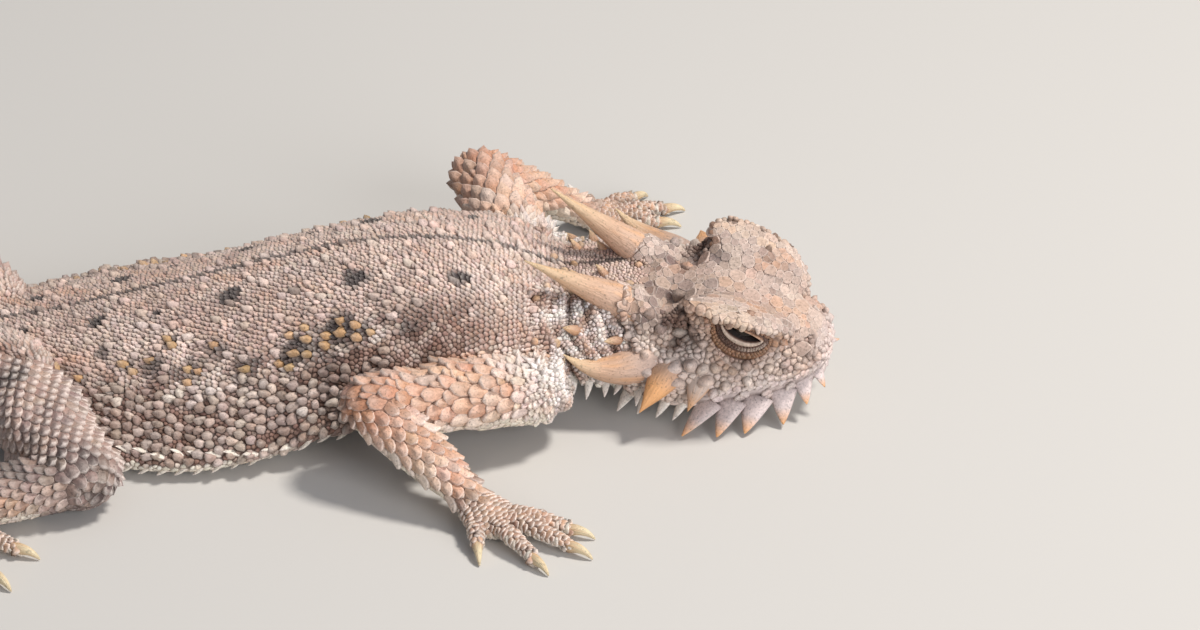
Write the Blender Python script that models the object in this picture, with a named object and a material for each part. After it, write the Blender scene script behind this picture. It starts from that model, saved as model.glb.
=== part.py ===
"""A flat-tail horned lizard at life size, lying flat on the floor with its chest and head a little raised.

Lengths are in millimetres until a mesh is made. The body heads along +X, with its left side at +Y and the floor at
Z = 0. The head has a frame of its own: x forward from the occiput, y to the left, z up from the chin.
"""

import math

import bmesh
import bpy
import numpy as np
from mathutils import Vector
from mathutils.bvhtree import BVHTree

METRES_PER_MM = 0.001
GAP = 0.3
FLOOR = 0.0
BACKWARD = np.array([-1.0, 0.0, 0.0])
UPWARD = np.array([0.0, 0.0, 1.0])

# Trunk, one column a station from the neck joint to the tail joint
TRUNK_X = [21.5, 17.0, 11.0, 5.0, -1.0, -8.0, -15.0, -21.5, -27.5, -32.5]
TRUNK_MIDDLE_Y = [0.3, 0.1, 0.0, 0.0, -0.3, -0.7, -0.8, -0.5, -0.2, 0.0]
TRUNK_HALF_WIDTH = [9.0, 11.2, 12.9, 14.2, 15.8, 16.8, 15.8, 12.2, 8.8, 6.6]
TRUNK_TOP = [10.6, 12.1, 12.8, 12.3, 11.0, 9.2, 7.4, 5.8, 4.9, 4.4]
TRUNK_BOTTOM = [1.8, 1.7, 1.5, 0.9, 0.2, 0.0, 0.0, 0.0, 0.0, 0.0]
TRUNK_ROUNDNESS = [1.0, 0.9, 0.65, 0.35, 0.15, 0.0, 0.1, 0.35, 0.6, 0.8]
TRUNK_RINGS = 20
FLOOR_CUTTER_HALF_SIZES = (120.0, 90.0)
FLOOR_CUTTER_DEPTH = 20.0

# Half of the flattened section, from the midline of the back round the flank edge to the midline of the belly,
# in shares of the half width and of the height
FLAT_SECTION = [
    (0.0, 1.0), (0.13, 0.985), (0.28, 0.92), (0.45, 0.78), (0.62, 0.60), (0.78, 0.42), (0.91, 0.27),
    (1.0, 0.14), (0.95, 0.04), (0.78, 0.0), (0.4, 0.0), (0.0, 0.0),
]

# Head, one column a station from the occiput to the tip of the snout, in the head's own frame
HEAD_X = [0.0, 2.2, 4.6, 7.0, 9.4, 11.6, 13.5, 15.0, 16.0]
CROWN_Z = [8.6, 9.4, 9.9, 10.1, 9.8, 9.1, 8.1, 6.9, 5.3]
BROW_Y = [3.6, 4.5, 5.2, 5.6, 5.6, 4.7, 3.3, 2.2, 1.1]
BROW_Z = [8.4, 9.5, 10.8, 11.0, 10.7, 9.4, 7.7, 6.4, 5.1]
TEMPLE_Y = [5.0, 5.5, 5.2, 4.6, 4.3, 4.1, 3.4, 2.6, 1.4]
TEMPLE_Z = [6.9, 7.4, 7.9, 8.2, 8.1, 7.3, 6.4, 5.4, 4.7]
CHEEK_Y = [7.2, 8.0, 8.0, 7.4, 6.6, 5.6, 4.4, 3.0, 1.6]
CHEEK_Z = [4.6, 4.7, 4.9, 5.2, 5.2, 5.0, 4.7, 4.5, 4.4]
JAW_Y = [7.0, 7.7, 7.7, 7.2, 6.3, 5.2, 4.0, 2.6, 1.3]
JAW_Z = [2.0, 2.0, 2.0, 2.1, 2.1, 2.2, 2.5, 3.0, 3.4]
CHIN_Z = [0.9, 0.3, 0.0, 0.0, 0.1, 0.4, 1.0, 1.8, 2.7]
HEAD_RINGS = 15
# Points between those columns: how far out on the crown and under the jaw, and how near the line of the brow or chin
CROWN_OUT = (0.36, 0.72)
CROWN_TO_BROW = 0.55
UNDER_JAW_OUT = (0.72, 0.38)
CHIN_TO_JAW = 0.28
SWELL = 0.1
HEAD_YAW = math.radians(-13.2)
HEAD_PITCH = math.radians(5.9)
HEAD_ROLL = math.radians(15.8)
HEAD_AT = (28.3, 0.2, 2.43)

# Mouth: the lower jaw is parted from the head along this line, seen from the side
MOUTH_CORNER_X = 6.7
MOUTH_LINE = [(5.0, 3.1), (8.0, 3.5), (10.5, 3.8), (13.0, 3.75), (15.0, 4.0), (18.0, 4.3)]
MOUTH_CUTTER_HALF_WIDTH = 14.0
MOUTH_CUTTER_BACK = -4.0
MOUTH_CUTTER_BELOW = -4.0
MOUTH_CUTTER_ABOVE = 20.0

EYE_AT = (9.4, 3.4, 8.7)
EYE_RADIUS = 1.55
LID_HALF_SIZES = (2.5, 2.35, 1.95)
SLIT_HALF_LENGTH = 1.65
SLIT_HALF_HEIGHT = 0.5
SLIT_DEPTH = 1.9
SLIT_OUT = 1.6
SLIT_UP = 0.4
SLIT_SLOPE = math.radians(20.0)
NOSTRIL_AT = (14.9, 1.9, 7.0)
NOSTRIL_RADIUS = 0.42
NOSTRIL_DEPTH = 0.9

# Horns in the head's frame: root, bend and tip for the left side, root width and height
HORNS = {
    "horn_occipital": ((1.3, 2.7, 7.0), (-3.6, 3.4, 9.2), (-9.1, 4.3, 11.9), 3.1, 3.1),
    "horn_temporal_rear": ((2.2, 6.1, 5.1), (-1.7, 8.3, 3.9), (-4.5, 8.7, 6.6), 3.1, 2.7),
    "horn_temporal_middle": ((4.0, 6.4, 5.2), (3.3, 9.0, 4.7), (2.5, 10.8, 3.9), 2.7, 2.3),
    "horn_temporal_front": ((6.6, 6.4, 5.0), (6.5, 7.9, 4.5), (6.2, 9.3, 3.6), 2.2, 2.0),
}
HORN_TAPER = [1.0, 0.92, 0.78, 0.58, 0.36, 0.11]
HORN_SIDES = 9

NECK_RINGS = 6
NECK_SIDES = 24
NECK_FRONT_SCALE = 0.97

# Tail: the path of its middle on the floor, half width and height
TAIL_X = [-32.8, -36.5, -41.0, -47.0, -54.0, -61.0, -68.5]
TAIL_Y = [0.0, 0.3, 0.9, 2.0, 3.7, 6.0, 9.0]
TAIL_HALF_WIDTH = [6.3, 5.0, 3.7, 2.7, 1.9, 1.2, 0.35]
TAIL_TOP = [4.6, 3.9, 3.3, 2.7, 2.0, 1.35, 0.6]
TAIL_RINGS = 11
TAIL_ROUNDNESS = 0.75

# Limbs: joints from the trunk outwards, radii at each end of the upper and of the lower segment and of the palm, then
# the tips of the toes on the floor, inner toe first
ARM_JOINTS = {
    "right": ((20.4, -10.4, 4.7), (6.7, -16.6, 6.8), (14.9, -23.2, 1.9)),
    "left": ((18.4, 8.8, 6.4), (14.6, 18.4, 8.9), (23.6, 24.4, 1.9)),
}
ARM_RADII = (3.1, 2.6, 2.5, 1.5, 1.3)
HAND_TIPS = {
    "right": ((18.6, -22.9), (24.6, -26.0), (24.4, -28.9), (21.0, -31.2), (15.6, -29.8)),
    "left": ((26.6, 22.9), (32.2, 25.0), (32.6, 28.0), (29.3, 30.7), (24.2, 30.4)),
}
LEG_JOINTS = {
    "right": ((-24.8, -5.4, 3.9), (-16.2, -21.2, 3.0), (-28.2, -25.3, 1.7)),
    "left": ((-26.6, 4.6, 3.4), (-34.6, 17.0, 2.8), (-47.2, 20.4, 1.7)),
}
LEG_RADII = (3.6, 3.4, 2.7, 1.7, 1.4)
FOOT_TIPS = {
    "right": ((-23.6, -25.2), (-18.8, -28.9), (-20.5, -33.4), (-26.2, -36.2), (-33.4, -32.0)),
    "left": ((-50.6, 16.9), (-56.0, 18.4), (-57.8, 22.6), (-56.2, 27.4), (-49.6, 27.0)),
}
TOE_RADIUS = 0.75
FOOT_TOE_SCALE = 1.05
TOE_START = 1.2
TOE_START_HEIGHT = 1.0
TOE_ARCH = 1.0
TOE_TAPER = [1.15, 1.0, 0.95, 0.62]
TOE_FLATNESS = 0.92
TOE_SIDES = 6
CLAW_LENGTH = 1.7
CLAW_ROOT_HEIGHT = 0.62
CLAW_TIP_HEIGHT = 0.35
CLAW_SUNK = 0.5
CLAW_BEND = 0.8
CLAW_ARCH = 0.35
CLAW_TAPER = [0.55, 0.48, 0.34, 0.12]
CLAW_WIDTH_SHARE = 0.8
CLAW_HEIGHT_SHARE = 1.1
CLAW_SIDES = 4
PALM_HALF_LENGTH = 2.7
PALM_HALF_WIDTH = 2.2
PALM_FLATNESS = 0.95
PALM_AHEAD = 1.7
PALM_AIM_HEIGHT = 0.3
PALM_DROP = 0.35

# One segment of a limb: its rounded ends beyond the joints and its swell of muscle, as shares of the radius there
LIMB_SIDES = 10
LIMB_FLATNESS = 0.85
LIMB_BULGE = 0.12
LIMB_END_REACH = (0.4, 0.75)
LIMB_END_SCALES = (0.85, 0.45)
LIMB_SWELL_PLACES = (0.3, 0.6, 0.85)
LOWER_LIMB_START = 0.98

# Spines and scutes: length, width and height of a middling one of each kind
FRINGE_SPINE = (1.3, 1.15, 0.8)
LOWER_FRINGE_SPINE = (0.9, 1.0, 0.7)
BACK_SCUTE = (1.9, 1.4, 0.6)
TAIL_SCUTE = (1.7, 1.3, 0.5)
NECK_SPINE = (1.2, 1.3, 1.1)
THROAT_SPINE = (1.7, 1.3, 0.8)
ARM_SCUTE = (1.9, 1.7, 0.5)
ARM_SPINE = (1.2, 1.2, 0.7)
BROW_SCUTE = (2.3, 1.5, 0.55)
CHEEK_SCUTE = (1.4, 1.3, 0.6)
CROWN_SCUTE = (2.1, 1.9, 0.35)
BROW_SPINE = (1.2, 1.7, 1.3)
SPINE_VARIETY = 0.12
SPINE_SIDES = 5
SPINE_SUNK = 0.42
SPINE_SET_BACK = 0.35
SPINE_MIDDLE = 0.42
SPINE_MIDDLE_SCALE = 0.68
SPINE_TIP_RISE = 0.08
SCUTE_SUNK = 0.7
SCUTE_CORNER_SUNK = 0.12
SCUTE_REAR_RISE = 0.55
SCUTE_KEEL_PEAK = 0.16
CLEARANCE = 0.4
DEEPEST_OVERLAP = 1.5
LOWEST_POINT = 0.25
LOWEST_TIP = 0.45

# Rows on the trunk: share of the half width of each row of scutes, with the step along it, then the two rows of
# the fringe by height, kind and first place
BACK_ROWS = (0.16, 0.42, 0.66)
BACK_FIRST_X = 18.5
BACK_LAST_X = -31.0
BACK_STEP = 4.4
BACK_STAGGER = 1.2
BACK_PLAY = 0.5
FRINGE_ROWS = ((2.1, FRINGE_SPINE, 13.0), (0.95, LOWER_FRINGE_SPINE, 3.0))
FRINGE_LAST_X = -23.0
FRINGE_STEP = 2.15

# Rows on the tail, getting smaller with its width
TAIL_SPINE_FIRST_X = -34.5
TAIL_SPINE_LAST_X = -65.0
TAIL_SPINE_STEP = 3.7
TAIL_SCUTE_BEHIND = 1.2
TAIL_SCUTE_OUT = 0.45
NARROWEST_WITH_SCUTES = 1.2
SMALLEST_TAIL_SPINE = 0.45

# Cones of the neck, by place along it and angle from level, and the pointed scales along the throat
NECK_SPINE_PLACES = ((23.0, 20), (24.6, 45), (26.4, 12), (25.4, 68), (23.2, 62))
NECK_AXIS = (0.3, 5.5)
THROAT_PLACES = (22.8, 28.4, 1.35)
THROAT_HEIGHT = 3.4

# Places on the head in its own frame: brow scutes and crown plates from above, cheek scutes and the pointed scales
# behind the jaw from the side
BROW_SCUTE_X = (6.2, 8.1, 10.0, 11.7, 13.2)
BROW_CORNER = (4.9, 4.9, 10.5)
CROWN_PLATES = ((3.4, 1.5), (6.4, 1.7), (9.3, 1.7), (12.0, 1.5), (4.7, 3.7), (7.7, 3.6))
CHEEK_SCUTES = ((5.4, 6.6), (7.9, 5.4), (10.4, 5.1), (12.4, 4.9))
JAW_ANGLE_X = (0.8, 2.4, 4.0, 5.4)
JAW_ANGLE_Z = 2.3

# Rows on each segment of a limb: angle from its top towards its front, how many, and whether they are spines
UPPER_ARM_ROWS = ((0, 4, False), (38, 4, False), (76, 4, False), (112, 6, True))
FOREARM_ROWS = ((20, 4, False), (-40, 4, False), (-80, 4, True))
THIGH_ROWS = ((10, 4, False), (48, 4, False), (-30, 4, False), (-85, 4, True))
SHANK_ROWS = ((0, 4, False), (45, 4, False), (80, 5, True))
ROW_ENDS = (0.22, 0.92)

# Jaw spines in the head's frame: root and tip for the left side, root width. Each is broad and flat, with its
# root ring a little way out along it
JAW_SPINE_OUT = 0.22
JAW_SPINE_FLATNESS = 0.55
JAW_SPINES = [
    ((7.7, 6.6, 2.6), (6.1, 10.2, 1.0), 2.0),
    ((9.3, 6.1, 2.6), (8.9, 9.7, 0.9), 2.1),
    ((11.2, 5.3, 2.7), (11.0, 8.6, 0.8), 2.3),
    ((13.0, 4.1, 2.9), (13.7, 6.4, 1.3), 2.0),
    ((14.4, 2.9, 3.2), (15.2, 4.5, 2.2), 1.5),
    ((15.3, 1.7, 3.5), (16.3, 2.8, 2.8), 1.1),
]

MATERIALS = {
    "trunk_skin": ((0.62, 0.43, 0.31), 0.62),
    "head_skin": ((0.58, 0.37, 0.24), 0.55),
    "neck_skin": ((0.60, 0.45, 0.34), 0.62),
    "limb_skin": ((0.60, 0.36, 0.21), 0.58),
    "horn": ((0.62, 0.34, 0.17), 0.42),
    "eye_dark": ((0.02, 0.015, 0.012), 0.15),
}


def unit(vector):
    vector = np.asarray(vector, float)
    return vector / np.linalg.norm(vector)


def clear_scene():
    for old in list(bpy.data.objects):
        bpy.data.objects.remove(old, do_unlink=True)


def make_materials():
    """One material for each kind of surface, by its colour and roughness."""
    made = {}
    for name, (colour, roughness) in MATERIALS.items():
        material = bpy.data.materials.new(name)
        material.use_nodes = True
        shader = material.node_tree.nodes["Principled BSDF"]
        shader.inputs["Base Color"].default_value = (*colour, 1.0)
        shader.inputs["Roughness"].default_value = roughness
        shader.inputs["Metallic"].default_value = 0.0
        made[name] = material
    return made


def smooth_curve(at, values, wanted):
    """Values between stations on a cubic through each one, with the slope that its two neighbours give."""
    at = np.asarray(at, float)
    values = np.asarray(values, float)
    if at[0] > at[-1]:
        at, values = at[::-1], values[::-1]
    slopes = np.gradient(values, at, axis=0)
    wanted = np.clip(np.asarray(wanted, float), at[0], at[-1])
    left = np.clip(np.searchsorted(at, wanted, side="right") - 1, 0, len(at) - 2)
    step = at[left + 1] - at[left]
    share = (wanted - at[left]) / step
    shape = (len(wanted),) + (1,) * (values.ndim - 1)
    share = share.reshape(shape)
    step = step.reshape(shape)
    square = share * share
    cube = square * share
    return (
        (2 * cube - 3 * square + 1) * values[left]
        + (cube - 2 * square + share) * step * slopes[left]
        + (3 * square - 2 * cube) * values[left + 1]
        + (cube - square) * step * slopes[left + 1]
    )


def whole_ring(half):
    """A closed ring from its left half, given from the top midline to the bottom midline."""
    mirrored = half[-2:0:-1].copy()
    mirrored[:, 0] *= -1
    return np.concatenate([half, mirrored])


def loft(rings):
    """A closed mesh through rings of equally many points, with a flat cap at each end."""
    count = len(rings)
    sides = len(rings[0])
    points = np.concatenate(rings)
    faces = []
    for ring in range(count - 1):
        for side in range(sides):
            after = (side + 1) % sides
            low = ring * sides
            faces.append((low + side, low + after, low + sides + after, low + sides + side))
    faces.append(tuple(range(sides - 1, -1, -1)))
    faces.append(tuple((count - 1) * sides + side for side in range(sides)))
    return points, faces


def trunk_section(station, spread=0.0):
    """Ring of the trunk or the tail at one station, as points (x, y, z)."""
    x, middle, width, top, bottom, roundness = station
    flat = np.array(FLAT_SECTION)
    angle = np.linspace(math.pi / 2, -math.pi / 2, len(flat))
    round_half = np.stack([np.cos(angle), 0.5 + 0.5 * np.sin(angle)], axis=1)
    half = flat * (1 - roundness) + round_half * roundness
    ring = whole_ring(half)
    y = middle + ring[:, 0] * (width + spread)
    z = bottom + ring[:, 1] * (top - bottom)
    z += spread * (2 * ring[:, 1] - 1)
    return np.stack([np.full(len(y), x), y, z], axis=1)


def trunk_stations(wanted):
    rows = [TRUNK_MIDDLE_Y, TRUNK_HALF_WIDTH, TRUNK_TOP, TRUNK_BOTTOM, TRUNK_ROUNDNESS]
    columns = [smooth_curve(TRUNK_X, row, wanted) for row in rows]
    columns[4] = np.clip(columns[4], 0.0, 1.0)
    columns[3] = np.maximum(columns[3], FLOOR)
    return list(zip(wanted, *columns))


def trunk_mesh(spread=0.0):
    wanted = np.linspace(TRUNK_X[0], TRUNK_X[-1], TRUNK_RINGS)
    return loft([trunk_section(station, spread) for station in trunk_stations(wanted)])


def tail_mesh():
    wanted = np.linspace(TAIL_X[0], TAIL_X[-1], TAIL_RINGS)
    rows = [TAIL_Y, TAIL_HALF_WIDTH, TAIL_TOP]
    columns = [smooth_curve(TAIL_X, row, wanted) for row in rows]
    rings = []
    for x, middle, width, top in zip(wanted, *columns):
        rings.append(trunk_section((x, middle, width, top, FLOOR, TAIL_ROUNDNESS)))
    return loft(rings)


def head_matrix():
    """Turns points of the head's frame into the body's: roll, then pitch, then yaw."""
    cos_yaw, sin_yaw = math.cos(HEAD_YAW), math.sin(HEAD_YAW)
    cos_pitch, sin_pitch = math.cos(HEAD_PITCH), math.sin(HEAD_PITCH)
    cos_roll, sin_roll = math.cos(HEAD_ROLL), math.sin(HEAD_ROLL)
    yaw = np.array([[cos_yaw, -sin_yaw, 0], [sin_yaw, cos_yaw, 0], [0, 0, 1]])
    pitch = np.array([[cos_pitch, 0, sin_pitch], [0, 1, 0], [-sin_pitch, 0, cos_pitch]])
    roll = np.array([[1, 0, 0], [0, cos_roll, -sin_roll], [0, sin_roll, cos_roll]])
    return yaw @ pitch @ roll


def head_to_body(points):
    return np.asarray(points, float) @ head_matrix().T + np.array(HEAD_AT)


def head_section(x):
    """Ring of the head at one distance from the occiput, in the head's frame."""
    rows = [CROWN_Z, BROW_Y, BROW_Z, TEMPLE_Y, TEMPLE_Z, CHEEK_Y, CHEEK_Z, JAW_Y, JAW_Z, CHIN_Z]
    crown, brow_y, brow_z, temple_y, temple_z, cheek_y, cheek_z, jaw_y, jaw_z, chin = [
        float(smooth_curve(HEAD_X, row, [x])[0]) for row in rows
    ]
    half = np.array([
        (0.0, crown),
        (CROWN_OUT[0] * brow_y, crown + SWELL / 2),
        (CROWN_OUT[1] * brow_y, crown + CROWN_TO_BROW * (brow_z - crown)),
        (brow_y, brow_z),
        ((brow_y + temple_y) / 2 + SWELL, (brow_z + temple_z) / 2),
        (temple_y, temple_z),
        ((temple_y + cheek_y) / 2, (temple_z + cheek_z) / 2 + SWELL),
        (cheek_y, cheek_z),
        ((cheek_y + jaw_y) / 2 + SWELL, (cheek_z + jaw_z) / 2),
        (jaw_y, jaw_z),
        (UNDER_JAW_OUT[0] * jaw_y, chin + CHIN_TO_JAW * (jaw_z - chin)),
        (UNDER_JAW_OUT[1] * jaw_y, chin + SWELL),
        (0.0, chin),
    ])
    ring = whole_ring(half)
    return np.stack([np.full(len(ring), x), ring[:, 0], ring[:, 1]], axis=1)


def head_mesh():
    wanted = np.linspace(HEAD_X[0], HEAD_X[-1], HEAD_RINGS)
    points, faces = loft([head_section(x) for x in wanted][::-1])
    return head_to_body(points), faces


def neck_mesh():
    """From the trunk's front face to the occiput, clear of each by the gap."""
    back = trunk_section(trunk_stations([TRUNK_X[0]])[0])
    front = head_section(0.0)
    back_ring = resampled(back[:, 1:], NECK_SIDES)
    front_ring = resampled(front[:, 1:], NECK_SIDES)
    start = np.column_stack([np.full(NECK_SIDES, TRUNK_X[0] + GAP), back_ring])
    end = head_to_body(np.column_stack([np.full(NECK_SIDES, -GAP), front_ring * NECK_FRONT_SCALE]))
    rings = []
    for share in np.linspace(0, 1, NECK_RINGS):
        ease = share * share * (3 - 2 * share)
        ring = start * (1 - ease) + end * ease
        ring[:, 0] = start[:, 0] * (1 - share) + end[:, 0] * share
        rings.append(ring)
    return loft(rings[::-1])


def resampled(ring, count):
    """The ring at equal steps of its length, from its first point."""
    closed = np.concatenate([ring, ring[:1]])
    length = np.concatenate([[0], np.cumsum(np.linalg.norm(np.diff(closed, axis=0), axis=1))])
    wanted = np.linspace(0, length[-1], count, endpoint=False)
    return np.stack([np.interp(wanted, length, closed[:, axis]) for axis in (0, 1)], axis=1)


def bent_path(root, bend, tip, steps):
    """Points on the smooth arc that leaves the root towards the bend and ends at the tip."""
    root, bend, tip = (np.asarray(point, float) for point in (root, bend, tip))
    share = np.linspace(0, 1, steps)[:, None]
    return (1 - share) ** 2 * root + 2 * share * (1 - share) * bend + share ** 2 * tip


def tube(path, half_widths, half_heights, sides, up=(0, 0, 1)):
    """A closed tube round a path, with an elliptic section whose height lies near the up direction."""
    path = np.asarray(path, float)
    along = np.gradient(path, axis=0)
    along /= np.linalg.norm(along, axis=1)[:, None]
    angle = np.linspace(0, 2 * math.pi, sides, endpoint=False)
    rings = []
    for point, forward, width, height in zip(path, along, half_widths, half_heights):
        side = np.cross(np.asarray(up, float), forward)
        side /= np.linalg.norm(side)
        top = np.cross(forward, side)
        rings.append(point + np.outer(np.cos(angle) * width, side) + np.outer(np.sin(angle) * height, top))
    return loft(rings)


def limb_bone(start, end, start_radius, end_radius):
    """One segment of a limb: a tube with rounded ends and a slight swell of muscle."""
    start, end = np.asarray(start, float), np.asarray(end, float)
    length = np.linalg.norm(end - start)
    near, far = LIMB_END_REACH
    places = [-start_radius * far, -start_radius * near, 0]
    places += [share * length for share in LIMB_SWELL_PLACES]
    places += [length, length + end_radius * near, length + end_radius * far]
    full, small = LIMB_END_SCALES
    scales = [small, full, 1, 1 + LIMB_BULGE, 1 + LIMB_BULGE, 1, 1, full, small]
    radii = np.interp(places, [0, length], [start_radius, end_radius]) * scales
    path = start + np.outer(places, (end - start) / length)
    return tube(path, radii, radii * LIMB_FLATNESS, LIMB_SIDES)


def new_object(name, mesh, material=None):
    """An object from points in millimetres and faces, facing out."""
    points, faces = mesh
    data = bpy.data.meshes.new(name)
    data.from_pydata((np.asarray(points) * METRES_PER_MM).tolist(), [], [tuple(map(int, f)) for f in faces])
    work = bmesh.new()
    work.from_mesh(data)
    bmesh.ops.recalc_face_normals(work, faces=work.faces)
    work.to_mesh(data)
    work.free()
    for polygon in data.polygons:
        polygon.use_smooth = True
    made = bpy.data.objects.new(name, data)
    if material is not None:
        data.materials.append(material)
    bpy.context.scene.collection.objects.link(made)
    return made


def read_mesh(item):
    """Points in millimetres and faces of an object."""
    points = np.array([vertex.co[:] for vertex in item.data.vertices]) / METRES_PER_MM
    return points, [tuple(polygon.vertices) for polygon in item.data.polygons]


def grown_mesh(mesh, by):
    """The mesh with each point moved out along its normal."""
    item = new_object("grown", mesh)
    normals = np.array([vertex.normal[:] for vertex in item.data.vertices])
    points, faces = read_mesh(item)
    bpy.data.objects.remove(item, do_unlink=True)
    return points + normals * by, faces


def apply_boolean(item, operation, others):
    """One Boolean with a collection of closed meshes, applied; the others are then removed."""
    group = bpy.data.collections.new("pieces")
    bpy.context.scene.collection.children.link(group)
    for other in others:
        bpy.context.scene.collection.objects.unlink(other)
        group.objects.link(other)
    modifier = item.modifiers.new("join", "BOOLEAN")
    modifier.operation = operation
    modifier.operand_type = "COLLECTION"
    modifier.collection = group
    modifier.solver = "MANIFOLD"
    graph = bpy.context.evaluated_depsgraph_get()
    result = bpy.data.meshes.new_from_object(item.evaluated_get(graph))
    item.modifiers.clear()
    old = item.data
    item.data = result
    result.name = item.name
    bpy.data.meshes.remove(old)
    for other in list(group.objects):
        bpy.data.objects.remove(other, do_unlink=True)
    bpy.data.collections.remove(group)
    keep_largest(item)


def keep_largest(item):
    """Leaves only the largest closed surface of the object."""
    work = bmesh.new()
    work.from_mesh(item.data)
    bmesh.ops.remove_doubles(work, verts=work.verts, dist=2e-6)
    unseen = set(work.verts)
    shells = []
    while unseen:
        first = unseen.pop()
        shell = [first]
        for vertex in shell:
            for edge in vertex.link_edges:
                other = edge.other_vert(vertex)
                if other in unseen:
                    unseen.discard(other)
                    shell.append(other)
        shells.append(shell)
    shells.sort(key=len, reverse=True)
    for shell in shells[1:]:
        bmesh.ops.delete(work, geom=shell, context="VERTS")
    bmesh.ops.triangulate(work, faces=work.faces)
    work.to_mesh(item.data)
    work.free()


def cut(item, meshes):
    apply_boolean(item, "DIFFERENCE", [new_object("cutter", mesh) for mesh in meshes])


def join(item, meshes):
    apply_boolean(item, "UNION", [new_object("piece", mesh) for mesh in meshes])


def box_mesh(low, high):
    (ax, ay, az), (bx, by, bz) = low, high
    points = [(x, y, z) for x in (ax, bx) for y in (ay, by) for z in (az, bz)]
    faces = [(0, 1, 3, 2), (4, 6, 7, 5), (0, 4, 5, 1), (2, 3, 7, 6), (0, 2, 6, 4), (1, 5, 7, 3)]
    return np.array(points, float), faces


def ball_mesh(centre, radii, turn=None, around=14, rings=9):
    """An ellipsoid with the given half sizes, turned by a matrix if one is given."""
    points = []
    for ring in range(1, rings):
        polar = math.pi * ring / rings
        for side in range(around):
            angle = 2 * math.pi * side / around
            points.append((math.cos(angle) * math.sin(polar), math.sin(angle) * math.sin(polar), math.cos(polar)))
    points = [(0.0, 0.0, 1.0)] + points + [(0.0, 0.0, -1.0)]
    faces = []
    for side in range(around):
        after = (side + 1) % around
        faces.append((0, 1 + side, 1 + after))
        last = 1 + (rings - 2) * around
        faces.append((len(points) - 1, last + after, last + side))
        for ring in range(rings - 2):
            low = 1 + ring * around
            faces.append((low + side, low + around + side, low + around + after, low + after))
    points = np.array(points) * np.array(radii, float)
    if turn is not None:
        points = points @ np.asarray(turn).T
    return points + np.asarray(centre, float), faces


def floor_cutter():
    x, y = FLOOR_CUTTER_HALF_SIZES
    return box_mesh((-x, -y, -FLOOR_CUTTER_DEPTH), (x, y, FLOOR))


def mirrored(point, side):
    return (point[0], point[1] * (1 if side == "left" else -1), point[2])


def build_head(materials):
    """The head with its lids, sockets and nostrils, then the lower jaw parted from it along the mouth."""
    head = new_object("head", head_mesh(), materials["head_skin"])
    head_frame = head_matrix()
    eyes = {side: head_to_body([mirrored(EYE_AT, side)])[0] for side in ("left", "right")}
    join(head, [ball_mesh(eye, LID_HALF_SIZES, head_frame) for eye in eyes.values()])
    jaw = new_object("lower_jaw", read_mesh(head), materials["head_skin"])
    cut(jaw, [mouth_mesh(0.0, True)])
    cutters = [mouth_mesh(GAP, False)]
    for side in ("left", "right"):
        sign = 1 if side == "left" else -1
        cutters.append(ball_mesh(eyes[side], (EYE_RADIUS + GAP,) * 3, None, 10, 7))
        slope = np.array([
            [math.cos(SLIT_SLOPE), 0, math.sin(SLIT_SLOPE)],
            [0, 1, 0],
            [-math.sin(SLIT_SLOPE), 0, math.cos(SLIT_SLOPE)],
        ])
        slit_at = head_to_body([(EYE_AT[0], sign * (EYE_AT[1] + SLIT_OUT), EYE_AT[2] + SLIT_UP)])[0]
        slit_sizes = (SLIT_HALF_LENGTH, SLIT_DEPTH, SLIT_HALF_HEIGHT)
        cutters.append(ball_mesh(slit_at, slit_sizes, head_frame @ slope, 12, 7))
        nostril = head_to_body([mirrored(NOSTRIL_AT, side)])[0]
        cutters.append(ball_mesh(nostril, (NOSTRIL_RADIUS, NOSTRIL_DEPTH, NOSTRIL_RADIUS), head_frame, 8, 6))
    cut(head, cutters)
    for side in ("left", "right"):
        new_object("eye_" + side, ball_mesh(eyes[side], (EYE_RADIUS,) * 3, None, 12, 8), materials["eye_dark"])
    return head, jaw


def mouth_mesh(spread, above):
    """The solid above the mouth's line and behind its corner, or else the one below, each moved up by the spread."""
    corner = MOUTH_CORNER_X - spread
    line = [(corner, MOUTH_LINE[0][1] + spread)] + [(x, z + spread) for x, z in MOUTH_LINE[1:]]
    back, front, below, top = MOUTH_CUTTER_BACK, MOUTH_LINE[-1][0], MOUTH_CUTTER_BELOW, MOUTH_CUTTER_ABOVE
    if above:
        outline = [(back, below), (corner, below)] + line + [(front, top), (back, top)]
    else:
        outline = [(corner, below)] + line + [(front, below)]
    half = MOUTH_CUTTER_HALF_WIDTH
    points, faces = loft([np.array([(x, y, z) for x, z in outline]) for y in (-half, half)])
    return head_to_body(points), faces


def horn_mesh(root, bend, tip, width, height):
    path = bent_path(root, bend, tip, len(HORN_TAPER))
    taper = np.array(HORN_TAPER)
    points, faces = tube(path, width / 2 * taper, height / 2 * taper, HORN_SIDES)
    return head_to_body(points), faces


def build_horns(materials, head_plain):
    """Each horn stands on the head's own surface, clear of it by the gap."""
    around = [grown_mesh(head_plain, GAP)]
    neck_clear = [grown_mesh(neck_mesh(), GAP)]
    for name, (root, bend, tip, width, height) in HORNS.items():
        for side in ("left", "right"):
            points = [mirrored(point, side) for point in (root, bend, tip)]
            horn = new_object(name + "_" + side, horn_mesh(*points, width, height), materials["horn"])
            cut(horn, around + neck_clear)


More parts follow.
